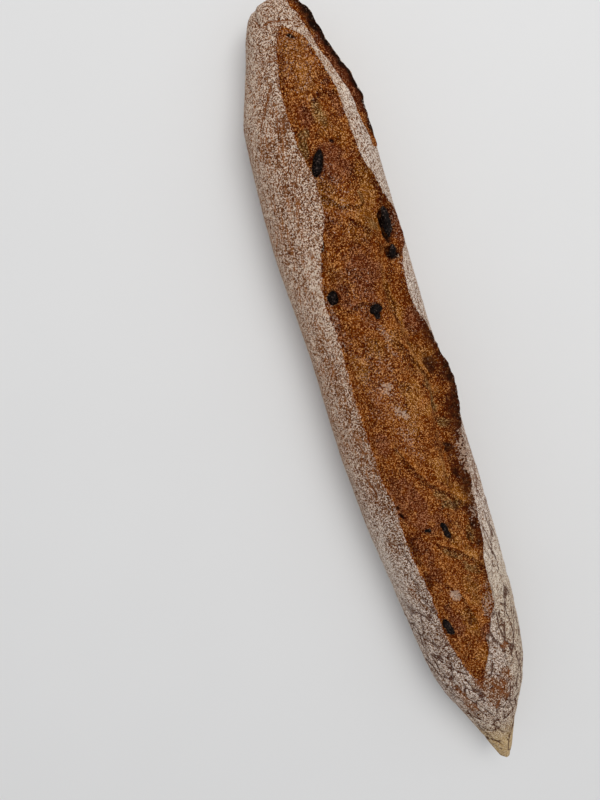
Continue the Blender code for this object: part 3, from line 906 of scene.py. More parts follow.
# How each olive piece is drawn in, seen from above: the direction in degrees, from the pointed end
# towards the ear, the depth as a share of its radius, and how far round that reaches.
OLIVE_NOTCHES = {
    "olive_1": ((90, 0.2, 60), (-90, 0.15, 60)),
    "olive_2": ((90, 0.1, 40), (-60, 0.15, 30)),
    "olive_3": ((90, 0.25, 50), (-90, 0.25, 50)),
    "olive_4": ((0, 0.1, 40), (100, 0.2, 40), (-150, 0.15, 30)),
    "olive_5": ((52, 0.5, 24), (-48, 0.42, 28), (175, 0.3, 34)),
    "olive_6": ((80, 0.5, 52), (-100, 0.55, 52)),
    "olive_7": ((30, 0.35, 70), (-90, 0.4, 60), (170, 0.25, 40)),
    "olive_8": ((90, 0.2, 50), (-90, 0.3, 50)),
}
net_place = net_plain + np.array((0.0, SIDE_SHIFT, 0.0))


def unique_points(node):
    points = np.array([vertex.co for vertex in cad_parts[node].data.vertices]) / MM
    return np.unique(points.round(4), axis=0)


def olive_seat(node):
    """Centre, axes (long, across, up) and half sizes of an olive piece, in millimetres."""
    points = unique_points(node)
    centre = (points.min(0) + points.max(0)) / 2
    longest = np.linalg.svd(points - centre, full_matrices=False)[2][0]
    nearest = np.argmin(((net_place - centre) ** 2).sum(-1))
    up = net_out.reshape(-1, 3)[nearest]
    along = longest - up * (longest @ up)
    along /= np.linalg.norm(along)
    axes = np.array((along, np.cross(up, along), up))
    spread = (points - centre) @ axes.T
    return centre, axes, (spread.max(0) - spread.min(0)) / 2


def drawn_in(node, offsets, up):
    """How far in the outline is drawn, for offsets from an olive's centre: 1 where it isn't."""
    toward_tip = np.array((1.0, 0.0, 0.0)) - up * up[0]
    toward_tip /= np.linalg.norm(toward_tip)
    angle = np.degrees(np.arctan2(offsets @ np.cross(up, toward_tip), offsets @ toward_tip))
    left = np.ones(angle.shape)
    for direction, depth, spread in OLIVE_NOTCHES[node]:
        turned = (angle - direction + 180) % 360 - 180
        left -= depth * hump(turned, spread)
    return np.maximum(left, LEAST_OLIVE)


def pocket(node):
    """How far the crust sinks for one olive piece, and how close each point is to its rim."""
    centre, axes, half = olive_seat(node)
    offsets = net_place - centre
    local = offsets @ axes.T / half
    reach = np.hypot(local[..., 0], local[..., 1]) / drawn_in(node, offsets, axes[2])
    reach[abs(local[..., 2]) > FAR_SIDE] = np.inf
    sunk = 2 * half[2] * POCKET_FLOOR * (1 - smooth_step(reach, *POCKET_EDGE))
    return sunk - RIM_RISE * hump(reach - RIM_PLACE, RIM_WIDTH), hump(reach - 1.0, RIM_WIDTH)


pockets = [pocket(node) for node in OLIVES]
pocket_depth = sum(depth for depth, _ in pockets)
pocket_rim = np.maximum.reduce([rim for _, rim in pockets])
print("pockets for", ", ".join(OLIVES))

# %% [markdown]
# ## The loaf as one closed skin
#
# The rings are joined into a tube and closed with a fan at either tip. Faces are wound so that they
# point outwards. Everything the material must know about a point is stored on it as an attribute.

# %% Make the loaf
TIP_FADE = (3.0, 11.0)  # the scores' relief sets in between these half widths of the loaf
TIP_FINE = 0.35  # the share of the fine relief that the very tips keep


def net_points():
    fade = smooth_step(half_width(net_x), *TIP_FADE)[..., None]
    fine = (TIP_FINE + (1 - TIP_FINE) * fade) * (rise - score_rise)[..., None]
    lifted = fade * score_rise[..., None] + fine - pocket_depth[..., None]
    points = net_plain + net_out * lifted + net_side * fade * score_lean[..., None]
    points[..., 2] = np.maximum(points[..., 2], 0)
    points[..., 1] += SIDE_SHIFT
    return points


def tube_faces(rings, count):
    """Quads between the rings, and a fan of triangles to each tip, all facing outwards."""
    i, j = np.meshgrid(np.arange(rings - 1), np.arange(count), indexing="ij")
    k = (j + 1) % count
    quads = np.stack((i * count + j, (i + 1) * count + j, (i + 1) * count + k, i * count + k), -1)
    j = np.arange(count)
    k = (j + 1) % count
    last = (rings - 1) * count
    tip = np.full(count, rings * count)
    fans = np.concatenate((np.stack((tip, j, k), -1), np.stack((tip + 1, last + k, last + j), -1)))
    return quads.reshape(-1, 4).tolist() + fans.tolist()


def make_loaf(material):
    tips = [(end, float(middle_line(end)) + SIDE_SHIFT, TIP_LIFT) for end in (-HALF_LENGTH, HALF_LENGTH)]
    points = np.array(net_points().reshape(-1, 3).tolist() + tips) * MM
    mesh = bpy.data.meshes.new("sourdough_loaf")
    mesh.from_pydata(points.tolist(), [], tube_faces(*net_x.shape))
    mesh.materials.append(material)
    mesh.shade_smooth()
    return new_object("sourdough_loaf", mesh)


def store(piece, name, values):
    """Keeps one number for each point of the mesh, with the tips taking their ring's average."""
    ends = (values[0].mean(), values[-1].mean())
    layer = piece.data.attributes.new(name, "FLOAT", "POINT")
    layer.data.foreach_set("value", np.concatenate((values.ravel(), ends)).astype(np.float32))


crust_finish, crust_tree, crust_shader = new_material("baked_crust")
loaf = make_loaf(crust_finish)
print("loaf:", len(loaf.data.vertices), "points,", len(loaf.data.polygons), "faces")

# %% [markdown]
# ## How the loaf baked
#
# Heat and flour are painted on the points, as smooth amounts. The thin crest of an ear chars first.
# Flour lies thick where the cloth dusted it and is rubbed off in long streaks on the flank. The very
# tip at the pointed end toasted to a light tan.

# %% Paint heat and flour
ear_burn = through((
    (-200, 0.2), (-175, 0.2), (-145, 0.35), (-128, 0.5), (-112, 0.5), (-95, 0.35), (-78, 0.3),
    (-62, 0.4), (-48, 0.66), (-38, 0.8), (-20, 0.84), (10, 0.8), (40, 0.72), (70, 0.6), (90, 0.5),
    (105, 0.4), (150, 0.3),
))
ear_burn_width = through((
    (-200, 1.5), (-150, 1.5), (-115, 3.4), (-95, 4.4), (-75, 2.8), (-60, 2.6), (-45, 2.8), (-30, 3.2),
    (-15, 3.2), (0, 3.4), (15, 4.0), (30, 4.4), (60, 4.0), (80, 3.0), (100, 2.2), (150, 1.2),
))
short_burn_width = through(((-214, 2.4), (-200, 3.0), (-180, 2.5), (-150, 2.2), (-130, 1.8)))
BURN_RAGGED = 0.35
EAR_BURN_EDGE = (-1.4, -0.2)
SHORT_BURN_EDGE = (-1.3, -0.15)
SHORT_BURN_MOTTLE = 0.3
SHORT_BURN_HEIGHT = (0.3, 1.2)  # a low short ear doesn't char
BURN_PAST = (0.8, 1.1)  # how far past the crests of the long and the short ear the burn goes
# painted shade: the crumb darkened in a ring where it meets an olive piece
OLIVE_RIM_SHADE = 0.4


def heat():
    """How charred each point is, with painted shade in pits and slits and round each olive piece."""
    ear_past, short_past = BURN_PAST
    band = net_from["ear"] / -ear_burn_width(net_x)
    ear_band = ear_burn(net_x) * smooth_step(-band + BURN_RAGGED * warp, *EAR_BURN_EDGE)
    ear_band *= (net_from["ear"] < ear_past) * openness(net_x)
    band = -net_from["foot"] / short_burn_width(net_x)
    short_band = smooth_step(-band + BURN_RAGGED * warp + SHORT_BURN_MOTTLE * medium, *SHORT_BURN_EDGE)
    short_band *= (net_from["foot"] < short_past) * smooth_step(short_ear_height(net_x), *SHORT_BURN_HEIGHT)
    return np.maximum.reduce([ear_band, short_band, charred, OLIVE_RIM_SHADE * pocket_rim * on_crumb])


burnt = heat()
print("charred:", round(float((burnt > 0.5).mean()), 3), "of the net")

# %% Dust it with flour
flour_along = through((
    (-215, 0.7), (-190, 0.8), (-165, 0.84), (-145, 0.72), (-105, 0.67), (-78, 0.76), (-50, 0.67),
    (-20, 0.61), (30, 0.62), (56, 0.8), (75, 0.96), (104, 0.92), (122, 0.76), (150, 0.66), (180, 0.67),
    (196, 0.66), (203, 0.6), (215, 0.5),
))
# What the strip beside the torn edge has more or less than that.
rim_flour = through((
    (-215, 0), (-180, -0.3), (-150, -0.28), (-100, -0.08), (-84, 0.25), (-66, 0.25), (-50, -0.02),
    (-20, -0.1), (20, -0.3), (60, -0.34), (104, -0.45), (130, -0.25), (150, 0), (215, 0),
))
FLOUR_UNEVEN = (0.06, 0.04)  # from medium and small noise
EAR_SIDE_FLOUR = (0.12, (14, 24))  # more on the ear's side: how much, and where round the loaf
RUBBED = (0.2, (0.05, 0.5), (-8, -16), (60, -40))  # streaks: how much, by noise, round the loaf, along it
BROWN_LOSS = 0.5
RIM_STRIP = (4.5, 7.5)  # how far beside the torn edge the strip is, and how wide
LIP_LOSS = (0.25, 0.4, 0.5)  # the lip itself is barer: how much, how far from the edge, how wide
BASE_FLOUR = 0.45  # on the flat base
BASE_FADE = (4, 1)  # it takes over between these heights over the ground
BARE_STREAKS = ((-9, -15), (0, 80), (-200, -170))  # round the loaf, up to where, and from where
STREAK_LEVELS = (0.7, 0.8, 0.6)  # in general, from medium noise, and where the skin is brown


def flour_cover():
    """How thickly the skin is floured."""
    cover = flour_along(net_x) + FLOUR_UNEVEN[0] * medium + FLOUR_UNEVEN[1] * small
    rubbed, rough, sides, places = RUBBED
    streaks = smooth_step(drawn_out, *rough) * round_crown(*sides) * along_x(*places)
    more, sides = EAR_SIDE_FLOUR
    cover += more * round_crown(*sides) - rubbed * streaks - BROWN_LOSS * brown
    cover += rim_flour(net_x) * hump(net_from["left"] + RIM_STRIP[0], RIM_STRIP[1])
    cover -= LIP_LOSS[0] * hump(net_from["left"] + LIP_LOSS[1], LIP_LOSS[2])
    return cover + (BASE_FLOUR - cover) * smooth_step(net_plain[..., 2], *BASE_FADE)


def streak_places():
    """Brown shows in long streaks where the near flank was stretched, less so towards the pointed end."""
    sides, until, since = BARE_STREAKS
    near = round_crown(*sides) * (1 - along_x(*until)) * along_x(*since)
    always, uneven, browner = STREAK_LEVELS
    return near * np.clip(always + uneven * medium + browner * brown, 0.1, 1)


flour = flour_cover()
print("average flour:", round(float(flour.mean()), 2))

# %% Keep it all on the points
FAR_GAP = 9
# Grey flour lies on the ear's side and over the pointed half, and toasted flour where these two meet
# and round the tip.
cool = np.maximum(0.6 * round_crown(12, 30), 0.9 * along_x(-30, 90)) - 0.9 * brown
creamy = np.maximum(round_crown(8, 18) * along_x(50, 110), along_x(160, 190))
amounts = {
    "bare": bare, "deep": deep, "gold_and_lit": gold_and_lit, "pale": pale, "burnt": burnt, "flour": flour, "dust": dust,
    "cool": cool, "creamy": creamy, "streaked": streak_places(), "ear_side": round_crown(-4, 4),
    "tip": along_x(182, 200), "crease_gap": np.clip(crease_gap, -FAR_GAP, FAR_GAP),
    "crease_drawn": crease_drawn, "fold_gap": np.clip(fold_gap, -FAR_GAP, FAR_GAP),
    "fold_drawn": fold_drawn, "crack_drawn": crack_drawn * on_skin,
}
for name, values in amounts.items():
    store(loaf, name, values)
print("stored:", ", ".join(amounts))

# %% [markdown]
# ## The crust's finish
#
# One material covers the loaf, because on the real one skin and crumb are the same dough. It builds
# both and switches between them at the torn edge. Under the flour the skin is brown; flour sits on it
# as pale speckle with pinholes. The crumb is amber, with finer golden grain, darker baked patches and
# charred crests. Each of those starts from a painted amount and gets its outline from fine noise.
# The crumb's rare bright grains are painted glints, and its folds carry painted light on the ridge and
# painted shade in the hollow.

# %% The pattern of the cracks
CRACK_CELL = 6.0
CRACK_WARP = 2.8
CRACK_WARP_SIZE = 12.0
CRACK_LAYOUTS = (  # how far the cells are drawn out, and how far that direction is turned
    (2.5, math.radians(-34)),
    (3.2, math.radians(5)),
)


def vector_worked(operation, first, second):
    return wired("ShaderNodeVectorMath", {0: first, 1: second}, operation=operation).outputs[0]


def scaled(vector, amount):
    return wired("ShaderNodeVectorMath", {0: vector, "Scale": amount}, operation="SCALE").outputs[0]


def crack_gap(place, stretch, turn):
    """Distance from the nearest crack, in millimetres. The same nodes serve a material and a mesh."""
    sockets = {"Vector": place, "Scale": 1 / (CRACK_WARP_SIZE * MM), "Detail": 2.0}
    swirl = wired("ShaderNodeTexNoise", sockets).outputs["Color"]
    swirl = vector_worked("SUBTRACT", swirl, (0.5, 0.5, 0.5))
    moved = vector_worked("ADD", place, scaled(swirl, 2 * CRACK_WARP * MM))
    sockets = {"Vector": moved, "Axis": (0.0, 0.0, 1.0), "Angle": turn}
    turned = wired("ShaderNodeVectorRotate", sockets, rotation_type="AXIS_ANGLE").outputs[0]
    cell = (1 / (CRACK_CELL * stretch * MM), 1 / (CRACK_CELL * MM), 1 / (CRACK_CELL * MM))
    sockets = {"Vector": vector_worked("MULTIPLY", turned, cell), "Scale": 1.0}
    edges = wired("ShaderNodeTexVoronoi", sockets, feature="DISTANCE_TO_EDGE").outputs["Distance"]
    return times(edges, CRACK_CELL)  # back from cells to millimetres


def both_gaps(place, ear_side):
    """Cracks slant on the near flank and run along the loaf on the ear's side."""
    near, far = (crack_gap(place, *layout) for layout in CRACK_LAYOUTS)
    return plus(times(near, minus(1.0, ear_side)), times(far, ear_side))


print("crack cells:", CRACK_CELL, "mm wide")

# %% [markdown]
# The same pattern sinks the cracks into the mesh, so that they are real and not only dark. Geometry
# Nodes do this as a modifier: a tree takes the surface in and gives it back changed. Its inputs have
# names, but the modifier knows them by a key. Once it has run, its result becomes a plain mesh.

# %% Sink the cracks into the mesh
CRACK_DEPTH = 0.55
CRACK_REACH = 1.3


def surface_tree(name, result, inputs):
    """A tree from a surface to a result, its inputs by their keys, and its input sockets."""
    tree = bpy.data.node_groups.new(name, "GeometryNodeTree")
    tree.is_modifier = True
    tree.interface.new_socket("Surface", in_out="INPUT", socket_type="NodeSocketGeometry")
    tree.interface.new_socket(result, in_out="OUTPUT", socket_type="NodeSocketGeometry")
    values = {}
    for label, value in inputs.items():
        kind = "NodeSocketInt" if isinstance(value, int) else "NodeSocketFloat"
        socket = tree.interface.new_socket(label, in_out="INPUT", socket_type=kind)
        socket.default_value = value
        values[socket.identifier] = value
    return tree, values, tree.nodes.new("NodeGroupInput").outputs


def apply_modifiers(piece):
    """Makes what the piece's modifiers show its own plain mesh."""
    graph = bpy.context.evaluated_depsgraph_get()
    piece.data = bpy.data.meshes.new_from_object(piece.evaluated_get(graph), depsgraph=graph)
    piece.modifiers.clear()
    piece.data.name = piece.name


def run_tree(piece, tree, values):
    modifier = piece.modifiers.new("nodes", "NODES")
    modifier.node_group = tree
    for key, value in values.items():
        modifier[key] = value
    apply_modifiers(piece)


def stored_amount(tree, name):
    """A value that was stored on the mesh's points, for a Geometry Nodes tree."""
    kind = "GeometryNodeInputNamedAttribute"
    return wired(kind, {"Name": name}, tree, data_type="FLOAT").outputs["Attribute"]


def cracking_tree():
    """Lowers a surface along its cracks."""
    inputs = {"Depth": CRACK_DEPTH * MM, "Reach": CRACK_REACH}
    tree, values, given = surface_tree("cracking", "Cracked", inputs)
    place = tree.nodes.new("GeometryNodeInputPosition").outputs[0]
    gap = both_gaps(place, stored_amount(tree, "ear_side"))
    depth = times(crisp(gap, given["Reach"], 0.0), stored_amount(tree, "crack_drawn"))
    inward = times(times(depth, given["Depth"]), -1.0)
    offset = scaled(tree.nodes.new("GeometryNodeInputNormal").outputs[0], inward)
    moved = wired("GeometryNodeSetPosition", {"Geometry": given["Surface"], "Offset": offset}).outputs[0]
    wired("NodeGroupOutput", {"Cracked": moved})
    return tree, values


run_tree(loaf, *cracking_tree())
print("cracked loaf:", len(loaf.data.vertices), "points")

# %% [markdown]
# Noise makes every shade uneven, and noisy edges make every change ragged. In the names below, clouds,
# grains, mottle, streaks, strands and stray stand for a noise: its size in millimetres and how far it
# spreads. A name with noise in it gives a size and a detail, and one with edge gives where a change
# starts and where it is full. A share is how much of a colour shows at most.

# %% Noise and grain for colours


def centred(place, size, spread, detail=2.0):
    """Noise between plus and minus half of spread."""
    return times(minus(speckle(place, size, detail), 0.5), spread)


def grainy(place, size, spread, power=1.0):
    """A shade of its own for every grain. With a high power few grains are bright, and they stand out."""
    sockets = {"Vector": place, "Scale": 1 / (size * MM)}
    shade = wired("ShaderNodeTexVoronoi", sockets).outputs["Color"]
    level = worked("POWER", wired("ShaderNodeSeparateXYZ", {"Vector": shade}).outputs["X"], power)
    return times(minus(level, 1 / (power + 1)), spread)


def between(value, start, end):
    """1 between two edges, and 0 outside them."""
    return times(crisp(value, *start), crisp(value, *end))


print("grains average", 1 / (4 + 1), "at a power of 4")

# %% Dark lines of the skin
LINE_HALF_EDGE = (0.6, 0.2)  # in millimetres from the middle of a line
CRACK_HALF_EDGE = (0.62, 0.25)
LINE_STRAY = (1.5, 1.2)
BREAK_NOISE = (4.0, 3.0)
BREAK_EDGE = (0.36, 0.44)


def dark_lines(tree, place):
    """Creases and cracks, drawn as fine broken lines."""
    gap = plus(painted(tree, "crease_gap"), centred(place, *LINE_STRAY))
    crease = crisp(worked("ABSOLUTE", gap), *LINE_HALF_EDGE)
    crease = times(crease, painted(tree, "crease_drawn"))
    crack = crisp(both_gaps(place, painted(tree, "ear_side")), *CRACK_HALF_EDGE)
    crack = times(crack, painted(tree, "crack_drawn"))
    broken = crisp(speckle(place, *BREAK_NOISE), *BREAK_EDGE)
    return times(worked("MAXIMUM", crease, crack), broken)


print("a crease is drawn", 2 * LINE_HALF_EDGE[0], "mm wide")

# %% Colours of the skin
# Five shades each, from the bare brown crust to thick flour, and the same where the flour is greyer.
SKIN_SHADES = ((88, 47, 24), (114, 70, 42), (140, 96, 65), (168, 131, 102), (217, 197, 177))
COOL_SHADES = ((76, 38, 17), (104, 64, 38), (136, 105, 80), (172, 150, 130), (224, 210, 197))
PINHOLE, STREAK_TONE = tone(70, 38, 22), tone(142, 88, 48)
LINE_BROWN, LINE_DARK = tone(120, 68, 34), tone(64, 29, 14)
CREAM = tone(206, 190, 162)  # flour that toasted a little
TIP_TAN = tone(194, 164, 114)
COOL_CLOUDS = (16.0, 0.9)
FLOUR_CLOUDS = (4.5, 0.18)
FLOUR_GRAINS = (0.45, 1.9)
FLOUR_MOTTLE = (0.9, 0.4)
FLOUR_STREAKS = (1.4, 0.5)
FLOUR_PRESSED = 0.22
COOL_CALM = 0.12  # grey flour lies more evenly, by this share
STREAK_PRESSED = 0.13
STREAK_TURN = 14.0
STREAK_NOISE = (1.5, 3.0)
STREAK_EDGE = (0.5, 0.62)
STREAK_FLOUR_EDGE = (1.3, 0.5)  # thick flour hides the streaks
TOASTED_EDGE = (0.3, 0.9)
TOASTED_SHARE = 0.5
TIP_SHARE = 0.7
HOLE_NOISE = (0.8, 1.0)
HOLE_EDGE = (0.4, 0.33)
HOLE_SHARES = (0.3, 0.4)  # in general, and more where the flour is grey
LINE_SHARE = 0.9


def skin_colour(tree, place):
    """A film of flour over brown crust. Returns the colour and where flour lies thick."""
    cool = crisp(plus(painted(tree, "cool"), centred(place, *COOL_CLOUDS)), 0.0, 1.0)
    uneven = plus(
        centred(place, *FLOUR_CLOUDS), grainy(place, *FLOUR_GRAINS), centred(place, *FLOUR_MOTTLE),
        centred(object_place(tree, FLOUR_PRESSED), *FLOUR_STREAKS),
    )
    calm = minus(1.0, times(cool, COOL_CALM))
    cover = plus(painted(tree, "flour"), times(uneven, calm))
    colour = blend(cool, ramp(cover, SKIN_SHADES), ramp(cover, COOL_SHADES))
    lengthwise = object_place(tree, STREAK_PRESSED, STREAK_TURN)
    streak = crisp(speckle(lengthwise, *STREAK_NOISE), *STREAK_EDGE)
    streak = times(streak, painted(tree, "streaked"))
    colour = tinted(colour, streak, crisp(cover, *STREAK_FLOUR_EDGE), STREAK_TONE)
    toasted = times(crisp(cover, *TOASTED_EDGE), painted(tree, "creamy"))
    colour = tinted(colour, toasted, TOASTED_SHARE, CREAM)
    colour = tinted(colour, painted(tree, "tip"), TIP_SHARE, TIP_TAN)
    holes = crisp(speckle(place, *HOLE_NOISE), *HOLE_EDGE)
    share = plus(times(cool, HOLE_SHARES[1]), HOLE_SHARES[0])
    colour = tinted(colour, holes, share, PINHOLE)
    line_tone = blend(cool, LINE_BROWN, LINE_DARK)
    return tinted(colour, dark_lines(tree, place), LINE_SHARE, line_tone), cover


print("shades of the skin:", len(SKIN_SHADES + COOL_SHADES))

# %% Colours of the crumb
# Five shades each, from the dark side of a grain to its light one.
AMBER_SHADES = ((60, 16, 0), (89, 31, 0), (113, 50, 0), (142, 75, 14), (202, 141, 80))
PATCH_SHADES = {
    "gold_and_lit": ((66, 27, 0), (104, 50, 4), (140, 83, 18), (164, 108, 38), (209, 156, 100)),
    "deep": ((44, 12, 0), (70, 23, 4), (93, 37, 10), (119, 61, 27), (174, 116, 81)),
    "pale": ((42, 23, 6), (76, 45, 13), (110, 72, 29), (138, 101, 52), (182, 149, 102)),
}
SCORCHED, CHARRED = tone(58, 21, 6), tone(19, 8, 4)
CRUMB_MIDDLE = 0.47
CRUMB_CLOUDS = (9.0, 0.9)
CRUMB_STRANDS = (2.6, 0.65)
STRANDS_PRESSED = 0.5
CRUMB_MOTTLE = (0.9, 0.2)
CRUMB_GRAINS_AND_GLINTS = (0.4, 1.5, 4.0)  # the last is the power; the rare bright grains it leaves are painted glints
FOLD_STRAY = (1.6, 1.4)
FOLD_SHADE_EDGES = ((0.2, 1.2), (4.2, 1.6))  # painted shade in a fold's hollow starts at the first and ends at the second
FOLD_HIGHLIGHT_EDGES = ((-2.2, -0.6), (0.8, 0.0))
FOLD_PAINTED_LIGHT = 0.22  # how far painted light on a fold's ridge and painted shade in its hollow move along the shades of the crumb
FOLD_PAINTED_SHADE = 0.4
PATCH_STRAY = (3.4, 0.55, 1.0)  # the last is the detail, here and for the heat
PATCH_EDGE = (0.1, 0.95)
PATCH_SHARE = 0.9
HEAT_STRAY = (2.0, 0.6, 3.0)
SCORCHED_EDGE = (0.1, 0.8)
SCORCHED_SHARE = 0.85
CHARRED_EDGE = (0.62, 1.0)
CHARRED_SHARE = 0.95


def crumb_colour(tree, place):
    """Grainy amber crumb: golden, dark and pale patches, scorched crests, painted light and shade on folds.
    """
    gap = plus(painted(tree, "fold_gap"), centred(place, *FOLD_STRAY))
    # Painted light on a fold's ridge, and painted shade in the hollow beside it.
    top = times(between(gap, *FOLD_HIGHLIGHT_EDGES), FOLD_PAINTED_LIGHT)
    hollow = times(between(gap, *FOLD_SHADE_EDGES), FOLD_PAINTED_SHADE)
    fold_light_and_shade = times(minus(top, hollow), painted(tree, "fold_drawn"))
    # The level holds the crumb's grain, whose rare bright grains are painted glints.
    level = plus(
        CRUMB_MIDDLE, centred(place, *CRUMB_CLOUDS),
        centred(object_place(tree, STRANDS_PRESSED), *CRUMB_STRANDS),
        centred(place, *CRUMB_MOTTLE), grainy(place, *CRUMB_GRAINS_AND_GLINTS), fold_light_and_shade,
    )
    colour = ramp(level, AMBER_SHADES)
    ragged = centred(place, *PATCH_STRAY)
    # The golden patches also hold painted light on swells of the crumb.
    for name, shades in PATCH_SHADES.items():
        amount = crisp(plus(painted(tree, name), ragged), *PATCH_EDGE)
        colour = tinted(colour, amount, PATCH_SHARE, ramp(level, shades))
    # The burnt amount holds real char, and painted shade in pits and slits and round each olive piece.
    heated = plus(painted(tree, "burnt"), centred(place, *HEAT_STRAY))
    colour = tinted(colour, crisp(heated, *SCORCHED_EDGE), SCORCHED_SHARE, SCORCHED)
    return tinted(colour, crisp(heated, *CHARRED_EDGE), CHARRED_SHARE, CHARRED)


print("shades of the crumb:", len(AMBER_SHADES) + sum(len(shades) for shades in PATCH_SHADES.values()))

# %% Wire the crust
EDGE_SHARPNESS = 0.22
EDGE_STRAY = (1.1, 1.6)
DUST_TONE = tone(192, 162, 138)
DUST_NOISE = (0.9, 2.0)
DUST_WEIGHT = 0.3
DUST_EDGE = (0.65, 0.8)
DUST_SHARE = 0.7
SKIN_ROUGHNESS = 0.9
CRUMB_SMOOTHER = 0.28  # the crumb is less rough by this
DULL = 0.02  # specular level of dry crust
BUMP_NOISE = (0.7, 3.0)
FLOUR_BUMP = 0.35
BUMP_DEPTH = 0.00022
BUMP_STRENGTH = 0.8


def bumpy(height, depth, strength=1.0):
    """Tiny bumps that are only shaded. Depth is in metres."""
    sockets = {"Height": height, "Distance": depth, "Strength": strength}
    return wired("ShaderNodeBump", sockets).outputs["Normal"]


def crust_material(tree, shader):
    place = object_place(tree)
    skin, covered = skin_colour(tree, place)
    crumb = crumb_colour(tree, place)
    floury = plus(speckle(place, *DUST_NOISE), times(painted(tree, "dust"), DUST_WEIGHT))
    crumb = tinted(crumb, crisp(floury, *DUST_EDGE), DUST_SHARE, DUST_TONE)
    torn = plus(painted(tree, "bare"), centred(place, *EDGE_STRAY))
    opened = crisp(torn, -EDGE_SHARPNESS, EDGE_SHARPNESS)
    height = plus(speckle(place, *BUMP_NOISE), times(covered, FLOUR_BUMP))
    plug(shader, {
        "Base Color": blend(opened, skin, crumb),
        "Roughness": minus(SKIN_ROUGHNESS, times(opened, CRUMB_SMOOTHER)),
        "Specular IOR Level": DULL,
        "Normal": bumpy(height, BUMP_DEPTH, BUMP_STRENGTH),
    })


crust_material(crust_tree, crust_shader)
print("crust material:", len(crust_tree.nodes), "nodes")

# %% [markdown]
# ## The olives
#
# Baked olive pieces are near-black, with a tough wrinkled skin and a faint sheen; pale specks in their
# colour are painted glints. Each fine piece starts from its own solid: the loose triangles are merged
# and rounded by subdivision, and the outline is drawn in as its pocket is. Then every point is moved by
# ridged noise, which wrinkles the skin.

# %% The skin of an olive
OLIVE_DARK, OLIVE_LIGHT, OLIVE_PAINTED_GLINT = tone(6, 3, 2), tone(28, 18, 14), tone(104, 88, 80)
OLIVE_NOISE = (1.2, 3.0)
OLIVE_EDGE = (0.4, 0.7)
PAINTED_GLINT_NOISE = (0.9, 1.0)
PAINTED_GLINT_EDGE = (0.6, 0.68)
PAINTED_GLINT_SHARE = 0.6
OLIVE_SMOOTHER = 0.1
OLIVE_SHEEN = 0.07
OLIVE_BUMP_NOISE = (0.7, 2.0)
OLIVE_BUMP = 0.0005


def olive_material():
    material, tree, shader = new_material("olive_skin")
    place = object_place(tree)
    dull = speckle(place, *OLIVE_NOISE)
    colour = blend(crisp(dull, *OLIVE_EDGE), OLIVE_DARK, OLIVE_LIGHT)
    # Painted glints: pale specks in the colour stand in for highlights on the olive's sheen.
    painted_glints = crisp(speckle(place, *PAINTED_GLINT_NOISE), *PAINTED_GLINT_EDGE)
    plug(shader, {
        "Base Color": tinted(colour, painted_glints, PAINTED_GLINT_SHARE, OLIVE_PAINTED_GLINT),
        "Roughness": minus(dull, OLIVE_SMOOTHER),
        "Specular IOR Level": OLIVE_SHEEN,
        "Normal": bumpy(speckle(place, *OLIVE_BUMP_NOISE), OLIVE_BUMP),
    })
    return material


olive_finish = olive_material()
print("made", olive_finish.name)

# %% Make the olive pieces
OLIVE_LEVELS = 3
MERGE_WITHIN = 1e-6
WRINKLE_DEPTH = 0.34
WRINKLE_SIZE = 1.3
WRINKLE_SHARPNESS = 3
SHRIVEL_DEPTH = 1.0
SHRIVEL_SIZE = 2.6
OLIVE_SWELL = 0.15  # makes up for what the wrinkles take away
OLIVE_APART = 7.0  # each olive piece reads the noise in a place of its own


def rounded_copy(node, name, material):
    """The node's solid, merged and subdivided into a smooth mesh of its own."""
    shell = bmesh.new()
    shell.from_mesh(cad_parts[node].data)
    bmesh.ops.remove_doubles(shell, verts=shell.verts, dist=MERGE_WITHIN)
    mesh = bpy.data.meshes.new(name)
    shell.to_mesh(mesh)
    shell.free()
    made = new_object(name, mesh)
    finer = made.modifiers.new("finer", "SUBSURF")
    finer.levels = OLIVE_LEVELS
    finer.render_levels = OLIVE_LEVELS
    apply_modifiers(made)
    made.data.materials.clear()
    made.data.materials.append(material)
    made.data.shade_smooth()
    return made


def draw_in(piece, node):
    """Draws the piece's outline in, as its pocket is drawn in."""
    centre, axes, _ = olive_seat(node)
    offsets = np.array([vertex.co for vertex in piece.data.vertices]) / MM - centre
    height = offsets @ axes[2]
    flat = offsets - height[:, None] * axes[2]
    flat *= drawn_in(node, offsets, axes[2])[:, None]
    moved = (centre + flat + height[:, None] * axes[2]) * MM
    piece.data.vertices.foreach_set("co", moved.ravel())
    piece.data.update()


def wrinkle(piece, number):
    """Shrivels the piece and draws fine wrinkles through its skin."""
    normals = [vertex.normal.copy() for vertex in piece.data.vertices]
    for vertex, normal in zip(piece.data.vertices, normals):
        place = vertex.co / MM + Vector((number * OLIVE_APART, 0, 0))
        shrivel = SHRIVEL_DEPTH * noise.noise(place / SHRIVEL_SIZE)
        line = abs(noise.fractal(place / WRINKLE_SIZE, FINER_FALL, FINER_TIMES, 2))
        sunk = WRINKLE_DEPTH * (1 - min(1.0, WRINKLE_SHARPNESS * line))
        vertex.co += normal * (shrivel - sunk + OLIVE_SWELL) * MM


olives = []
for number, node in enumerate(OLIVES):
    piece = rounded_copy(node, node + "_flesh", olive_finish)
    draw_in(piece, node)
    wrinkle(piece, number)
    olives.append(piece)
print("olive pieces:", [len(piece.data.polygons) for piece in olives])

# %% [markdown]
# ## Flour, blisters and flecks
#
# Flour is not only a colour: clumps of it stand on the skin and catch the light. Tiny blisters do the
# same on the crumb, and dark flecks of bran and char lie on both. Thousands of small grains are a task
# for Geometry Nodes: one tree strews a flattened grain over a surface where a stored amount asks for
# it, and turns and sizes each by a seeded draw.

# %% The tree that strews grains
GRAIN_SHAPE = {"Segments": 4, "Rings": 2, "Radius": 0.5}
GRAIN_LEAST, GRAIN_MOST = 0.7, 1.3  # how much a grain is squeezed or drawn out


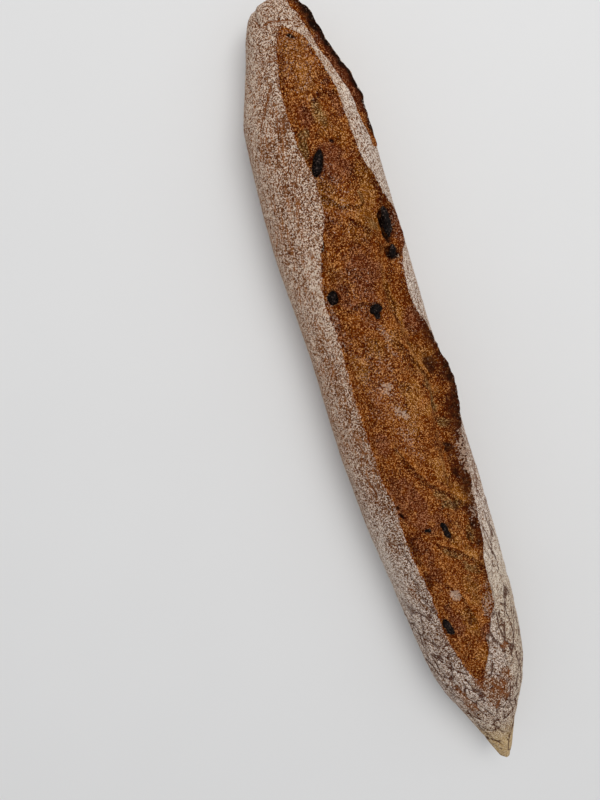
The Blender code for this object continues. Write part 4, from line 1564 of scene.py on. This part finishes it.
def random_value(low, high, seed, kind="FLOAT"):
    """A seeded draw for each grain, of one number or of three."""
    first, result = (0, 0) if kind == "FLOAT_VECTOR" else (2, 1)
    sockets = {first: low, first + 1: high, "Seed": seed}
    return wired("FunctionNodeRandomValue", sockets, data_type=kind).outputs[result]


def strewing_tree(name, amount, flatness, material, inputs):
    """Flat grains over a surface, more of them where a stored amount is high."""
    tree, values, given = surface_tree(name, "Grains", inputs)
    seed = given["Seed"]
    density = times(stored_amount(tree, amount), given["Grains per square metre"])
    sockets = {"Mesh": given["Surface"], "Density": density, "Seed": seed}
    points = wired("GeometryNodeDistributePointsOnFaces", sockets, distribute_method="RANDOM").outputs
    grain = wired("GeometryNodeMeshUVSphere", GRAIN_SHAPE, tree).outputs["Mesh"]
    spin = random_value((0, 0, 0), (0, 0, 2 * math.pi), seed, "FLOAT_VECTOR")
    turn = wired("FunctionNodeEulerToRotation", {"Euler": spin}).outputs["Rotation"]
    sockets = {"Rotation": points["Rotation"], "Rotate By": turn}
    turned = wired("FunctionNodeRotateRotation", sockets, rotation_space="LOCAL").outputs["Rotation"]
    size = random_value(given["Smallest"], given["Largest"], seed)
    least, most = ((share, share, flatness * share) for share in (GRAIN_LEAST, GRAIN_MOST))
    stretch = random_value(least, most, seed, "FLOAT_VECTOR")
    sockets = {"Points": points["Points"], "Instance": grain, "Rotation": turned}
    sockets["Scale"] = scaled(stretch, size)
    placed = wired("GeometryNodeInstanceOnPoints", sockets).outputs["Instances"]
    real = wired("GeometryNodeRealizeInstances", {"Geometry": placed}).outputs["Geometry"]
    sockets = {"Geometry": real, "Material": material}
    done = wired("GeometryNodeSetMaterial", sockets).outputs["Geometry"]
    wired("NodeGroupOutput", {"Grains": done})
    return tree, values


def strew(name, amount, count, sizes, flatness, seed, material):
    """Runs the strewing tree over the loaf and keeps its grains as one plain mesh."""
    inputs = {
        "Grains per square metre": count, "Smallest": sizes[0] * MM, "Largest": sizes[1] * MM, "Seed": seed,
    }
    made = new_object(name, loaf.data.copy())
    run_tree(made, *strewing_tree(name + "_tree", amount, flatness, material, inputs))
    print(name + ":", len(made.data.polygons), "faces")
    return made


print("a grain starts from", GRAIN_SHAPE["Segments"], "segments and", GRAIN_SHAPE["Rings"], "rings")

# %% Strew them
SHADE_EDGE = (0.35, 0.65)
OVER_GROUND = (3, 8)
IN_THE_SCORE = (0.6, 1.6)


def plain_finish(name, dark, light, size, roughness):
    """A dull finish whose shade changes from grain to grain."""
    material, tree, shader = new_material(name)
    shade = crisp(speckle(object_place(tree), size), *SHADE_EDGE)
    colour = blend(shade, dark, light)
    plug(shader, {"Base Color": colour, "Roughness": roughness, "Specular IOR Level": DULL})
    return material


# Loose flour lies where flour is thick, blisters in the open crumb, and flecks where nothing is charred.
over_ground = smooth_step(net_plain[..., 2], *OVER_GROUND)
in_long_score = smooth_step(bare, *IN_THE_SCORE)
store(loaf, "strew_flour", over_ground * (on_skin * np.clip(2 * flour - 0.5, 0, 1) + 0.5 * on_crumb * dust))
store(loaf, "strew_blisters", in_long_score * np.clip(0.5 + 0.5 * small - 1.6 * burnt, 0, 1))
store(loaf, "strew_flecks", over_ground * np.clip(0.25 + 0.5 * medium, 0, 1) * np.clip(1 - 1.5 * burnt, 0, 1))
grains = [
    strew("flour_grains", "strew_flour", 6.5e5, (0.22, 0.62), 0.42, 11,
          plain_finish("loose_flour", tone(158, 130, 110), tone(204, 188, 174), 3.0, 0.95)),
    strew("crumb_blisters", "strew_blisters", 2.0e6, (0.25, 0.7), 0.45, 12,
          plain_finish("crumb_grain", tone(84, 38, 10), tone(156, 100, 56), 2.0, 0.6)),
    strew("bran_flecks", "strew_flecks", 1.2e5, (0.3, 0.75), 0.35, 13,
          plain_finish("bran", tone(40, 22, 14), tone(110, 66, 36), 4.0, 0.8)),
]

# %% [markdown]
# ## Put it all in the frame
#
# Every piece rides on the loaf's one body. The fine loaf and the olives stand for their solids, and
# the strewn grains lie on top of them.

# %% Hand the pieces over
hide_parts("loaf")
for piece, node in zip(olives, OLIVES):
    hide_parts(node)
    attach(piece, "root")
for piece in [loaf, *grains]:
    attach(piece, "root")
